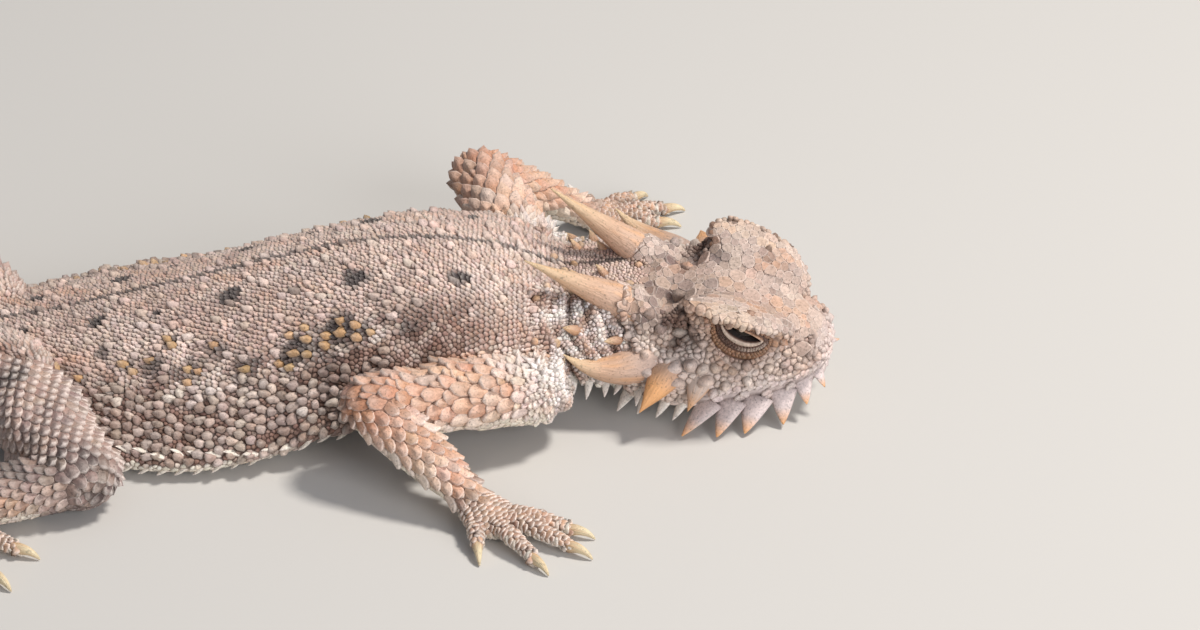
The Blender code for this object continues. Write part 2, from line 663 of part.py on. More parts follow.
def build_limb(names, joints, tips, radii, side, materials, trunk_clear, toe_radius):
    """Upper limb, lower limb and foot, each cut clear of the piece that it grows from."""
    root, elbow, wrist = joints
    lower_start = radii[2] * LOWER_LIMB_START
    upper_mesh = limb_bone(root, elbow, radii[0], radii[1])
    lower_mesh = limb_bone(elbow, wrist, lower_start, radii[3])
    material = materials["limb_skin"]
    upper = new_object(names[0] + "_" + side, upper_mesh, material)
    cut(upper, [trunk_clear, floor_cutter()])
    lower = new_object(names[1] + "_" + side, lower_mesh, material)
    cut(lower, [trunk_clear, limb_bone(root, elbow, radii[0] + GAP, radii[1] + GAP), floor_cutter()])
    foot = new_object(names[2] + "_" + side, palm_mesh(wrist, tips, radii[4]), material)
    join(foot, [mesh for tip in tips for mesh in toe_meshes(wrist, tip, toe_radius)])
    cut(foot, [limb_bone(elbow, wrist, lower_start + GAP, radii[3] + GAP), floor_cutter()])


def palm_mesh(wrist, tips, radius):
    wrist = np.asarray(wrist, float)
    forward = unit(np.array([*np.mean(np.array(tips), axis=0), PALM_AIM_HEIGHT]) - wrist)
    centre = wrist + forward * PALM_AHEAD - UPWARD * PALM_DROP
    side = unit(np.cross(UPWARD, forward))
    turn = np.column_stack([forward, side, np.cross(forward, side)])
    return ball_mesh(centre, (PALM_HALF_LENGTH, PALM_HALF_WIDTH, radius * PALM_FLATNESS), turn, 10, 6)


def toe_meshes(wrist, tip, radius):
    """A toe from the palm to the root of its claw, and the claw."""
    direction = unit([tip[0] - wrist[0], tip[1] - wrist[1], 0.0])
    start = np.array([wrist[0], wrist[1], TOE_START_HEIGHT]) + direction * TOE_START
    end = np.array([*tip, CLAW_TIP_HEIGHT])
    claw_root = end - direction * CLAW_LENGTH
    claw_root[2] = CLAW_ROOT_HEIGHT
    path = bent_path(start, (start + claw_root) / 2 + UPWARD * TOE_ARCH, claw_root, len(TOE_TAPER))
    width = radius * np.array(TOE_TAPER)
    toe = tube(path, width, width * TOE_FLATNESS, TOE_SIDES)
    bend = claw_root + direction * CLAW_BEND + UPWARD * CLAW_ARCH
    claw_path = bent_path(claw_root - direction * CLAW_SUNK, bend, end, len(CLAW_TAPER))
    claw_width = radius * np.array(CLAW_TAPER)
    claw = tube(claw_path, claw_width * CLAW_WIDTH_SHARE, claw_width * CLAW_HEIGHT_SHARE, CLAW_SIDES)
    return [toe, claw]


def centre_on_floor():
    """Moves every node together so that the whole stands centred over the origin."""
    bpy.context.view_layer.update()
    corners = []
    for item in bpy.data.objects:
        corners += [item.matrix_world @ Vector(corner) for corner in item.bound_box]
    low = np.min([corner[:] for corner in corners], axis=0)
    high = np.max([corner[:] for corner in corners], axis=0)
    shift = np.array([-(low[0] + high[0]) / 2, -(low[1] + high[1]) / 2, -low[2]])
    for item in bpy.data.objects:
        for vertex in item.data.vertices:
            vertex.co = vertex.co + Vector(shift)


def spine_mesh(root, outward, lie, length, width, height):
    """A tapered spine of five sides, with its root ring under the skin and its point along the lie."""
    lie = unit(lie)
    side = unit(np.cross(outward, lie))
    top = np.cross(lie, side)
    angle = np.linspace(0, 2 * math.pi, SPINE_SIDES, endpoint=False) + math.pi / 2
    section = np.outer(np.cos(angle) * width / 2, side) + np.outer(np.sin(angle) * height / 2, top)
    start = root - unit(outward) * SPINE_SUNK - lie * SPINE_SET_BACK
    middle = root + lie * SPINE_MIDDLE * length
    tip = root + lie * length + top * SPINE_TIP_RISE * length
    points = np.concatenate([start + section, middle + SPINE_MIDDLE_SCALE * section, [tip]])
    faces = [tuple(range(SPINE_SIDES - 1, -1, -1))]
    for corner in range(SPINE_SIDES):
        after = (corner + 1) % SPINE_SIDES
        faces.append((corner, after, SPINE_SIDES + after, SPINE_SIDES + corner))
        faces.append((SPINE_SIDES + corner, SPINE_SIDES + after, 2 * SPINE_SIDES))
    return points, faces


def scute_mesh(root, outward, lie, length, width, height):
    """A keeled scute: four corners just under the skin, a raised keel and a root below."""
    outward = unit(outward)
    side = unit(np.cross(outward, lie))
    along = np.cross(side, outward)
    low = root - outward * SCUTE_CORNER_SUNK
    points = np.array([
        low - along * length / 2,
        low + side * width / 2,
        low + along * length / 2 + outward * height * SCUTE_REAR_RISE,
        low - side * width / 2,
        root + along * SCUTE_KEEL_PEAK * length + outward * height,
        root - outward * SCUTE_SUNK,
    ])
    return points, [(0, 4, 1), (1, 4, 2), (2, 4, 3), (3, 4, 0), (0, 1, 5), (1, 2, 5), (2, 3, 5), (3, 0, 5)]


def solid_tree(item):
    points, faces = read_mesh(item)
    return BVHTree.FromPolygons(points.tolist(), faces)


def seat(tree, centre, outward):
    """Where a line from outside towards the centre first meets the surface, and the surface's normal there."""
    outward = unit(outward)
    start = Vector(np.asarray(centre, float) + outward * 60)
    place, normal, _, _ = tree.ray_cast(start, Vector(-outward))
    if place is None:
        return None
    return np.array(place), np.array(normal)


def stands_clear(points, trees):
    """Whether each point keeps its distance from every other node and from the floor."""
    for point in points:
        if point[2] < LOWEST_POINT:
            return False
        for tree in trees:
            place, normal, _, distance = tree.find_nearest(Vector(point))
            inside = distance < DEEPEST_OVERLAP and (Vector(point) - place).dot(normal) < 0
            if inside or distance < CLEARANCE:
                return False
    return True


class Dresser:
    """Gathers the spines and scutes of one node and joins those that stand clear of the others."""

    def __init__(self, name, seed):
        self.item = bpy.data.objects[name]
        self.tree = solid_tree(self.item)
        others = [other for other in bpy.data.objects if other != self.item]
        self.trees = [solid_tree(other) for other in others]
        self.random = np.random.default_rng(seed)
        self.pieces = []

    def sizes(self, kind, scale=1.0):
        return [size * scale * self.random.uniform(1 - SPINE_VARIETY, 1 + SPINE_VARIETY) for size in kind]

    def add_spine(self, root, outward, lie, kind, scale=1.0):
        mesh = spine_mesh(root, outward, lie, *self.sizes(kind, scale))
        if stands_clear(mesh[0][5:], self.trees):
            self.pieces.append(mesh)

    def add_scute(self, root, outward, lie, kind, scale=1.0):
        mesh = scute_mesh(root, outward, lie, *self.sizes(kind, scale))
        if stands_clear(mesh[0][:5], self.trees):
            self.pieces.append(mesh)

    def finish(self):
        join(self.item, self.pieces)


def dress_trunk():
    """Rows of keeled scutes along the back and two rows of fringe spines along each flank."""
    torso = Dresser("torso", 11)
    for row, share in enumerate(BACK_ROWS):
        for x in np.arange(BACK_FIRST_X - BACK_STAGGER * row, BACK_LAST_X, -BACK_STEP):
            lines = (TRUNK_MIDDLE_Y, TRUNK_HALF_WIDTH)
            middle, width = [float(smooth_curve(TRUNK_X, line, [x])[0]) for line in lines]
            for side in (-1, 1):
                place = x + torso.random.uniform(-BACK_PLAY, BACK_PLAY)
                found = seat(torso.tree, (place, middle + side * share * width, 5), UPWARD)
                if found:
                    torso.add_scute(found[0], found[1], BACKWARD, BACK_SCUTE)
    for height, kind, first in FRINGE_ROWS:
        for x in np.arange(first, FRINGE_LAST_X, -FRINGE_STEP):
            for side in (-1, 1):
                found = seat(torso.tree, (x, 0, height), (0, side, 0))
                if found:
                    lie = unit(found[1] * 0.55 + BACKWARD * 0.8)
                    torso.add_spine(found[0], found[1], lie, kind)
    torso.finish()


def dress_tail():
    """Side spines and two rows of keeled scutes, smaller towards the tip."""
    tail = Dresser("tail", 12)
    for x in np.arange(TAIL_SPINE_FIRST_X, TAIL_SPINE_LAST_X, -TAIL_SPINE_STEP):
        middle, width = [float(smooth_curve(TAIL_X, line, [x])[0]) for line in (TAIL_Y, TAIL_HALF_WIDTH)]
        scale = SMALLEST_TAIL_SPINE + (1 - SMALLEST_TAIL_SPINE) * width / TAIL_HALF_WIDTH[0]
        for side in (-1, 1):
            found = seat(tail.tree, (x, middle, 0.45 * width ** 0.5 + 0.3), (0, side, 0))
            if found:
                lie = unit(found[1] * 0.7 + BACKWARD * 0.75 + UPWARD * 0.1)
                tail.add_spine(found[0], found[1], lie, FRINGE_SPINE, scale)
            place = (x - TAIL_SCUTE_BEHIND, middle + side * TAIL_SCUTE_OUT * width, 0)
            found = seat(tail.tree, place, UPWARD)
            if found and width > NARROWEST_WITH_SCUTES:
                tail.add_scute(found[0], found[1], BACKWARD, TAIL_SCUTE, scale)
    tail.finish()


def dress_neck():
    """Scattered cones on each side of the neck and a row of pointed scales along the throat."""
    neck = Dresser("neck", 13)
    for side in (-1, 1):
        for x, angle in NECK_SPINE_PLACES:
            turn = math.radians(angle)
            found = seat(neck.tree, (x, *NECK_AXIS), (0, side * math.cos(turn), math.sin(turn)))
            if found:
                neck.add_spine(found[0], found[1], unit(found[1] + 0.7 * BACKWARD), NECK_SPINE)
        for x in np.arange(*THROAT_PLACES):
            found = seat(neck.tree, (x, 0, THROAT_HEIGHT), (0, side, 0))
            if found:
                lie = unit(found[1] * 0.8 - UPWARD * 0.45 + BACKWARD * 0.35)
                neck.add_spine(found[0], found[1], lie, THROAT_SPINE)
    neck.finish()


def dress_head():
    """Brow scutes with a corner spine, plates on the crown, cheek scutes and the pointed scales behind the jaw."""
    turn = head_matrix()
    backward = turn @ BACKWARD
    head = Dresser("head", 14)
    for side in (-1, 1):
        for x in BROW_SCUTE_X:
            brow_y, brow_z = [float(smooth_curve(HEAD_X, line, [x])[0]) for line in (BROW_Y, BROW_Z)]
            outward = turn @ unit((0.0, side * 0.75, 0.66))
            found = seat(head.tree, head_to_body([(x, side * (brow_y - 1), brow_z - 1)])[0], outward)
            if found:
                head.add_scute(found[0], outward, backward, BROW_SCUTE, 1.0 - 0.03 * (x - 6))
        corner = head_to_body([(BROW_CORNER[0], side * BROW_CORNER[1], BROW_CORNER[2])])[0]
        head.add_spine(corner, turn @ UPWARD, turn @ unit((-0.62, side * 0.42, 0.62)), BROW_SPINE)
        for x, y in CROWN_PLATES:
            found = seat(head.tree, head_to_body([(x, side * y, 5)])[0], turn @ UPWARD)
            if found:
                head.add_scute(found[0], found[1], backward, CROWN_SCUTE)
        for x in JAW_ANGLE_X:
            found = seat(head.tree, head_to_body([(x, 0, JAW_ANGLE_Z)])[0], turn @ np.array([0.0, side, 0.0]))
            if found:
                lie = unit(turn @ np.array([-0.35, side * 0.75, -0.6]))
                head.add_spine(found[0], found[1], lie, THROAT_SPINE)
        for x, z in CHEEK_SCUTES:
            found = seat(head.tree, head_to_body([(x, 0, z)])[0], turn @ np.array([0.0, side, 0.0]))
            if found:
                head.add_scute(found[0], found[1], backward, CHEEK_SCUTE)
    head.finish()


def dress_jaw():
    """The broad flat spines along each edge of the lower jaw."""
    turn = head_matrix()
    jaw = Dresser("lower_jaw", 15)
    for root, tip, width in JAW_SPINES:
        for side in ("left", "right"):
            start = head_to_body([mirrored(root, side)])[0]
            end = head_to_body([mirrored(tip, side)])[0]
            end[2] = max(end[2], LOWEST_TIP)
            length = np.linalg.norm(end - start)
            root_at = start + (end - start) * JAW_SPINE_OUT
            length *= 1 - JAW_SPINE_OUT
            mesh = spine_mesh(root_at, turn @ UPWARD, end - start, length, width, width * JAW_SPINE_FLATNESS)
            if stands_clear(mesh[0][5:], jaw.trees):
                jaw.pieces.append(mesh)
    jaw.finish()


def dress_bone(name, start, end, seed, rows, kind, spines):
    """Rows of scutes or spines along one segment of a limb, each row at an angle from the top round to the front."""
    limb = Dresser(name, seed)
    start, end = np.asarray(start, float), np.asarray(end, float)
    direction = unit(end - start)
    level = unit(np.cross(UPWARD, direction))
    top = np.cross(direction, level)
    for angle, count, is_spine in rows:
        turn = math.radians(angle)
        outward = math.cos(turn) * top + math.sin(turn) * level
        for share in np.linspace(*ROW_ENDS, count):
            centre = start + (end - start) * share
            found = seat(limb.tree, centre, outward)
            if not found:
                continue
            if is_spine:
                limb.add_spine(found[0], found[1], unit(found[1] + 0.7 * direction), spines)
            else:
                limb.add_scute(found[0], found[1], direction, kind)
    limb.finish()


def turned_rows(rows, sign):
    return [(angle * sign, count, is_spine) for angle, count, is_spine in rows]


def dress_limbs():
    for side, sign in (("left", -1), ("right", 1)):
        root, elbow, wrist = ARM_JOINTS[side]
        dress_bone("upper_arm_" + side, root, elbow, 21, turned_rows(UPPER_ARM_ROWS, sign), ARM_SCUTE, ARM_SPINE)
        dress_bone("forearm_" + side, elbow, wrist, 22, turned_rows(FOREARM_ROWS, sign), ARM_SCUTE, ARM_SPINE)
        root, knee, ankle = LEG_JOINTS[side]
        dress_bone("thigh_" + side, root, knee, 23, THIGH_ROWS, ARM_SCUTE, ARM_SPINE)
        dress_bone("shank_" + side, knee, ankle, 24, turned_rows(SHANK_ROWS, sign), ARM_SCUTE, ARM_SPINE)


def build_lizard():
    clear_scene()
    materials = make_materials()
    torso = new_object("torso", trunk_mesh(), materials["trunk_skin"])
    cut(torso, [floor_cutter()])
    tail = new_object("tail", tail_mesh(), materials["trunk_skin"])
    cut(tail, [floor_cutter()])
    new_object("neck", neck_mesh(), materials["neck_skin"])
    head_plain = head_mesh()
    build_head(materials)
    build_horns(materials, head_plain)
    trunk_clear = grown_mesh(trunk_mesh(), GAP)
    for side in ("left", "right"):
        build_limb(
            ("upper_arm", "forearm", "hand"), ARM_JOINTS[side], HAND_TIPS[side], ARM_RADII, side,
            materials, trunk_clear, TOE_RADIUS,
        )
        build_limb(
            ("thigh", "shank", "foot"), LEG_JOINTS[side], FOOT_TIPS[side], LEG_RADII, side,
            materials, trunk_clear, TOE_RADIUS * FOOT_TOE_SCALE,
        )
    dress_trunk()
    dress_tail()
    dress_neck()
    dress_head()
    dress_jaw()
    dress_limbs()
    centre_on_floor()


build_lizard()
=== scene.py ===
"""A flat-tail horned lizard at life size: a skin over the solids, with scales, spines, horns, claws and lids.

Lengths are in millimetres in the body's frame, as in the solids: +X is the way it heads, +Y its left, and the
floor is at Z = 0. They become metres in the row's frame when a mesh is made.
"""

import math

import bpy
import numpy as np
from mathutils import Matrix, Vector
from mathutils.bvhtree import BVHTree
from mathutils.kdtree import KDTree

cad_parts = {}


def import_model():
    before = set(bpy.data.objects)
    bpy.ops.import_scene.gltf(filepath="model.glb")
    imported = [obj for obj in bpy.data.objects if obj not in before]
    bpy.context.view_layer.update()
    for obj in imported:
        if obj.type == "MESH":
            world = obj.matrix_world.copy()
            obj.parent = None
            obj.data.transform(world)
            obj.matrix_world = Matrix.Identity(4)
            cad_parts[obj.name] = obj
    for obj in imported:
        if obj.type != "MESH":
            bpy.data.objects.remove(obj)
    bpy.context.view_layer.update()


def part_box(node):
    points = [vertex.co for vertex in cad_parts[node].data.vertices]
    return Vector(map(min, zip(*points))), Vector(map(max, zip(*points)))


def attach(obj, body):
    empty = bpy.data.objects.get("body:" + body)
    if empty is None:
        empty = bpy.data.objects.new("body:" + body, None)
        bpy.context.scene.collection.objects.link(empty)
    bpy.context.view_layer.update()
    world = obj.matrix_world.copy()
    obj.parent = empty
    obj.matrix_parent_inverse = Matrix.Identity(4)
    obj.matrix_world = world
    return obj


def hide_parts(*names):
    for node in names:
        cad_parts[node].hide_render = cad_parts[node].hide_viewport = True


MM = 0.001
SKIN_DEPTH = 0.22
VOXEL = 0.2
LOWEST = 0.03

# Trunk, one column a station from the neck joint to the tail joint
TRUNK_X = [21.5, 17.0, 11.0, 5.0, -1.0, -8.0, -15.0, -21.5, -27.5, -32.5]
TRUNK_MIDDLE_Y = [0.3, 0.1, 0.0, 0.0, -0.3, -0.7, -0.8, -0.5, -0.2, 0.0]
TRUNK_HALF_WIDTH = [9.0, 11.2, 12.9, 14.2, 15.8, 16.8, 15.8, 12.2, 8.8, 6.6]
TRUNK_TOP = [10.6, 12.1, 12.8, 12.3, 11.0, 9.2, 7.4, 5.8, 4.9, 4.4]
TRUNK_BOTTOM = [1.8, 1.7, 1.5, 0.9, 0.2, 0.0, 0.0, 0.0, 0.0, 0.0]
TRUNK_ROUNDNESS = [1.0, 0.9, 0.65, 0.35, 0.15, 0.0, 0.1, 0.35, 0.6, 0.8]
FLAT_SECTION = [
    (0.0, 1.0), (0.13, 0.985), (0.28, 0.92), (0.45, 0.78), (0.62, 0.60), (0.78, 0.42), (0.91, 0.27),
    (1.0, 0.14), (0.95, 0.04), (0.78, 0.0), (0.4, 0.0), (0.0, 0.0),
]
HALF_POINTS = 25

# Head in its own frame, x forward from the occiput
HEAD_X = [0.0, 2.2, 4.6, 7.0, 9.4, 11.6, 13.5, 15.0, 16.0]
CROWN_Z = [8.6, 9.4, 9.9, 10.1, 9.8, 9.1, 8.1, 6.9, 5.3]
BROW_Y = [3.6, 4.5, 5.2, 5.6, 5.6, 4.7, 3.3, 2.2, 1.1]
BROW_Z = [8.4, 9.5, 10.8, 11.0, 10.7, 9.4, 7.7, 6.4, 5.1]
TEMPLE_Y = [5.0, 5.5, 5.2, 4.6, 4.3, 4.1, 3.4, 2.6, 1.4]
TEMPLE_Z = [6.9, 7.4, 7.9, 8.2, 8.1, 7.3, 6.4, 5.4, 4.7]
CHEEK_Y = [7.2, 8.0, 8.0, 7.4, 6.6, 5.6, 4.4, 3.0, 1.6]
CHEEK_Z = [4.6, 4.7, 4.9, 5.2, 5.2, 5.0, 4.7, 4.5, 4.4]
JAW_Y = [7.0, 7.7, 7.7, 7.2, 6.3, 5.2, 4.0, 2.6, 1.3]
JAW_Z = [2.0, 2.0, 2.0, 2.1, 2.1, 2.2, 2.5, 3.0, 3.4]
CHIN_Z = [0.9, 0.3, 0.0, 0.0, 0.1, 0.4, 1.0, 1.8, 2.7]
HEAD_YAW = math.radians(-13.2)
HEAD_PITCH = math.radians(5.9)
HEAD_ROLL = math.radians(15.8)
HEAD_AT = (28.3, 0.2, 2.43)
MOUTH_LINE = [(5.0, 3.1), (8.0, 3.5), (10.5, 3.8), (13.0, 3.75), (15.0, 4.0), (18.0, 4.3)]
EYE_AT = (9.4, 3.4, 8.7)
EYE_SHOWN_RADIUS = 1.45
NOSTRIL_AT = (14.9, 1.9, 7.0)
# The slit between the lids and the rim of the orbit, in the head's frame
SLIT_AT = (9.4, 9.4)
SLIT_SLOPE = -14.0
SLIT_LENGTH = 1.62
SLIT_HEIGHT = 0.5
ORBIT_LENGTH = 2.75
ORBIT_UP = 1.15
ORBIT_DOWN = 3.15
# The shelf over each eye, from its rear corner forward: outer edge, root on the crown and half its thickness
SHELF_EDGE = [(4.1, 5.2, 11.6), (6.5, 5.7, 11.35), (8.9, 5.6, 10.95), (11.2, 4.8, 10.0), (13.4, 3.1, 8.5)]
SHELF_ROOT = [(4.9, 2.4, 9.6), (6.8, 1.7, 9.8), (9.0, 1.5, 9.6), (11.3, 1.4, 8.8), (13.3, 1.2, 7.8)]
SHELF_THICKNESS = [0.42, 0.5, 0.5, 0.42, 0.32]
# Raised bead scales of the cheek: place forward and up, size and height
CHEEK_BUMPS = [
    (4.1, 6.6, 1.3, 0.6), (5.7, 6.4, 1.5, 0.8), (7.3, 5.5, 1.25, 0.7), (2.6, 7.6, 1.2, 0.4),
    (8.8, 5.1, 1.1, 0.55), (5.0, 5.2, 1.0, 0.4), (6.3, 4.4, 1.1, 0.45), (10.4, 5.3, 0.95, 0.42),
    (7.9, 4.4, 0.9, 0.4), (11.9, 6.0, 0.95, 0.34), (3.4, 8.8, 1.1, 0.24), (5.4, 8.1, 1.0, 0.26),
    (6.4, 7.4, 0.85, 0.3), (2.9, 5.6, 1.0, 0.3), (13.0, 6.6, 0.9, 0.22), (9.6, 4.6, 0.75, 0.24),
    (11.2, 4.9, 0.8, 0.24), (1.6, 8.6, 1.1, 0.24),
]

# Root, bend and tip in the head's frame for the left side, root width and height
HORNS = {
    "horn_occipital": ((1.3, 2.7, 7.0), (-3.6, 3.4, 9.2), (-9.1, 4.3, 11.9), 3.1, 3.1),
    "horn_temporal_rear": ((2.2, 6.1, 5.1), (-1.7, 8.3, 3.9), (-4.5, 8.7, 6.6), 3.1, 2.7),
    "horn_temporal_middle": ((4.0, 6.4, 5.2), (3.3, 9.0, 4.7), (2.5, 10.8, 3.9), 2.7, 2.3),
    "horn_temporal_front": ((6.6, 6.4, 5.0), (6.5, 7.9, 4.5), (6.2, 9.3, 3.6), 2.2, 2.0),
}
JAW_SPINES = [
    ((7.7, 6.6, 2.6), (6.1, 10.2, 1.0), 2.0),
    ((9.3, 6.1, 2.6), (8.9, 9.7, 0.9), 2.1),
    ((11.2, 5.3, 2.7), (11.0, 8.6, 0.8), 2.3),
    ((13.0, 4.1, 2.9), (13.7, 6.4, 1.3), 2.0),
    ((14.4, 2.9, 3.2), (15.2, 4.5, 2.2), 1.5),
    ((15.3, 1.7, 3.5), (16.3, 2.8, 2.8), 1.1),
]
LOWEST_TIP = 0.45

TAIL_X = [-32.8, -36.5, -41.0, -47.0, -54.0, -61.0, -68.5]
TAIL_Y = [0.0, 0.3, 0.9, 2.0, 3.7, 6.0, 9.0]
TAIL_HALF_WIDTH = [6.3, 5.0, 3.7, 2.7, 1.9, 1.2, 0.35]
TAIL_TOP = [4.6, 3.9, 3.3, 2.7, 2.0, 1.35, 0.6]

ARM_JOINTS = {
    "right": ((20.4, -10.4, 4.7), (6.7, -16.6, 6.8), (14.9, -23.2, 1.9)),
    "left": ((18.4, 8.8, 6.4), (14.6, 18.4, 8.9), (23.6, 24.4, 1.9)),
}
ARM_RADII = (3.1, 2.6, 2.5, 2.3, 1.5, 1.3)
HAND_TIPS = {
    "right": ((18.6, -22.9), (24.6, -26.0), (24.4, -28.9), (21.0, -31.2), (15.6, -29.8)),
    "left": ((26.6, 22.9), (32.2, 25.0), (32.6, 28.0), (29.3, 30.7), (24.2, 30.4)),
}
LEG_JOINTS = {
    "right": ((-24.8, -5.4, 3.9), (-16.2, -21.2, 3.0), (-28.2, -25.3, 1.7)),
    "left": ((-26.6, 4.6, 3.4), (-34.6, 17.0, 2.8), (-47.2, 20.4, 1.7)),
}
LEG_RADII = (3.6, 3.4, 2.7, 2.5, 1.7, 1.4)
FOOT_TIPS = {
    "right": ((-23.6, -25.2), (-18.8, -28.9), (-20.5, -33.4), (-26.2, -36.2), (-33.4, -32.0)),
    "left": ((-50.6, 16.9), (-56.0, 18.4), (-57.8, 22.6), (-56.2, 27.4), (-49.6, 27.0)),
}
TOE_RADIUS = 0.75
CLAW_LENGTH = 1.7

BACKWARD = np.array([-1.0, 0.0, 0.0])
UPWARD = np.array([0.0, 0.0, 1.0])

# Colours as screen values from 0 to 255
PALETTE = {
    "back": (200, 172, 158), "back_pale": (226, 206, 194), "back_grey": (160, 136, 128),
    "spot": (52, 40, 40), "tubercle": (204, 164, 118), "back_rust": (196, 146, 116),
    "flank_pale": (228, 214, 202), "flank_brown": (122, 92, 80), "belly": (230, 220, 204),
    "head": (186, 160, 145), "head_pale": (204, 184, 171), "brow": (186, 138, 106),
    "lid": (196, 176, 160), "fold": (150, 112, 86), "lid_brown": (96, 68, 56), "lip": (208, 192, 188),
    "crown_dark": (104, 84, 80), "head_rust": (198, 150, 118), "head_grey": (146, 126, 120),
    "brow_edge": (216, 190, 160), "horn_root": (196, 170, 156), "horn": (208, 170, 142),
    "horn_tip": (232, 204, 164), "horn_orange": (226, 168, 114), "arm": (206, 164, 136),
    # The groove colour below is painted shade, for the feet of scales, the skin between them and the troughs of
    # the neck's folds.
    "arm_red": (176, 116, 86), "edge": (240, 228, 218), "groove_shade": (100, 74, 62),
    "neck_white": (232, 224, 218), "neck_brown": (150, 106, 80), "hand": (162, 132, 114),
    # The hole colour below is painted shade, for the nostrils, the slit between the lids and a groove of the lids.
    "hole_shade": (30, 20, 18), "claw": (236, 218, 180), "claw_root": (196, 160, 126),
    "throat": (232, 224, 214),
}


def linear(name):
    """A palette colour as linear light."""
    share = np.array(PALETTE[name]) / 255.0
    return np.where(share <= 0.04045, share / 12.92, ((share + 0.055) / 1.055) ** 2.4)


def unit(vectors):
    vectors = np.asarray(vectors, float)
    return vectors / np.maximum(np.linalg.norm(vectors, axis=-1, keepdims=True), 1e-9)


def smooth_curve(at, values, wanted):
    """Values between stations on a cubic through each one, with the slope that its two neighbours give."""
    at = np.asarray(at, float)
    values = np.asarray(values, float)
    if at[0] > at[-1]:
        at, values = at[::-1], values[::-1]
    slopes = np.gradient(values, at, axis=0)
    wanted = np.clip(np.asarray(wanted, float), at[0], at[-1])
    left = np.clip(np.searchsorted(at, wanted, side="right") - 1, 0, len(at) - 2)
    step = at[left + 1] - at[left]
    share = (wanted - at[left]) / step
    shape = (len(wanted),) + (1,) * (values.ndim - 1)
    share = share.reshape(shape)
    step = step.reshape(shape)
    square = share * share
    cube = square * share
    return (
        (2 * cube - 3 * square + 1) * values[left]
        + (cube - 2 * square + share) * step * slopes[left]
        + (3 * square - 2 * cube) * values[left + 1]
        + (cube - square) * step * slopes[left + 1]
    )


def smoothstep(low, high, value):
    share = np.clip((value - low) / (high - low), 0, 1)
    return share * share * (3 - 2 * share)


def whole_ring(half):
    mirrored = half[-2:0:-1].copy()
    mirrored[:, 0] *= -1
    return np.concatenate([half, mirrored])


def finer(half):
    """The half section with more points, on a smooth curve through those given."""
    steps = np.linspace(0, len(half) - 1, HALF_POINTS)
    return smooth_curve(np.arange(len(half)), half, steps)


def trunk_ring(station, spread=0.0):
    x, middle, width, top, bottom, roundness = station
    flat = finer(np.array(FLAT_SECTION))
    flat[:, 1] = np.maximum(flat[:, 1], 0)
    angle = np.linspace(math.pi / 2, -math.pi / 2, HALF_POINTS)
    round_half = np.stack([np.cos(angle), 0.5 + 0.5 * np.sin(angle)], axis=1)
    ring = whole_ring(flat * (1 - roundness) + round_half * roundness)
    y = middle + ring[:, 0] * (width + spread)
    z = bottom + ring[:, 1] * (top - bottom) + spread * (2 * ring[:, 1] - 1)
    return np.stack([np.full(len(y), x), y, z], axis=1)


def trunk_stations(wanted):
    rows = [TRUNK_MIDDLE_Y, TRUNK_HALF_WIDTH, TRUNK_TOP, TRUNK_BOTTOM, TRUNK_ROUNDNESS]
    columns = [smooth_curve(TRUNK_X, row, wanted) for row in rows]
    columns[4] = np.clip(columns[4], 0.0, 1.0)
    columns[3] = np.maximum(columns[3], 0.0)
    return list(zip(wanted, *columns))


def tail_stations(wanted):
    columns = [smooth_curve(TAIL_X, row, wanted) for row in (TAIL_Y, TAIL_HALF_WIDTH, TAIL_TOP)]
    return [(x, middle, width, top, 0.0, 0.75) for x, middle, width, top in zip(wanted, *columns)]


def head_matrix():
    cos_yaw, sin_yaw = math.cos(HEAD_YAW), math.sin(HEAD_YAW)
    cos_pitch, sin_pitch = math.cos(HEAD_PITCH), math.sin(HEAD_PITCH)
    cos_roll, sin_roll = math.cos(HEAD_ROLL), math.sin(HEAD_ROLL)
    yaw = np.array([[cos_yaw, -sin_yaw, 0], [sin_yaw, cos_yaw, 0], [0, 0, 1]])
    pitch = np.array([[cos_pitch, 0, sin_pitch], [0, 1, 0], [-sin_pitch, 0, cos_pitch]])
    roll = np.array([[1, 0, 0], [0, cos_roll, -sin_roll], [0, sin_roll, cos_roll]])
    return yaw @ pitch @ roll


HEAD_TURN = head_matrix()


def head_to_body(points):
    return np.asarray(points, float) @ HEAD_TURN.T + np.array(HEAD_AT)


def body_to_head(points):
    return (np.asarray(points, float) - np.array(HEAD_AT)) @ HEAD_TURN


def mirrored(point, side):
    return (point[0], point[1] * (1 if side == "left" else -1), point[2])


def head_ring(x, spread=0.0):
    rows = [CROWN_Z, BROW_Y, BROW_Z, TEMPLE_Y, TEMPLE_Z, CHEEK_Y, CHEEK_Z, JAW_Y, JAW_Z, CHIN_Z]
    crown, brow_y, brow_z, temple_y, temple_z, cheek_y, cheek_z, jaw_y, jaw_z, chin = [
        float(smooth_curve(HEAD_X, row, [x])[0]) for row in rows
    ]
    half = np.array([
        (0.0, crown),
        (0.36 * brow_y, crown + 0.05),
        (0.72 * brow_y, 0.45 * crown + 0.55 * brow_z),
        (brow_y, brow_z),
        (0.5 * (brow_y + temple_y) + 0.1, 0.5 * (brow_z + temple_z)),
        (temple_y, temple_z),
        (0.5 * (temple_y + cheek_y), 0.5 * (temple_z + cheek_z) + 0.1),
        (cheek_y, cheek_z),
        (0.5 * (cheek_y + jaw_y) + 0.1, 0.5 * (cheek_z + jaw_z)),
        (jaw_y, jaw_z),
        (0.72 * jaw_y, 0.72 * chin + 0.28 * jaw_z),
        (0.38 * jaw_y, chin + 0.08),
        (0.0, chin),
    ])
    half = finer(half)
    middle = np.array([0.0, 0.5 * (crown + chin)])
    half = half + unit(half - middle) * spread
    half[[0, -1], 0] = 0.0
    ring = whole_ring(half)
    return np.stack([np.full(len(ring), x), ring[:, 0], ring[:, 1]], axis=1)


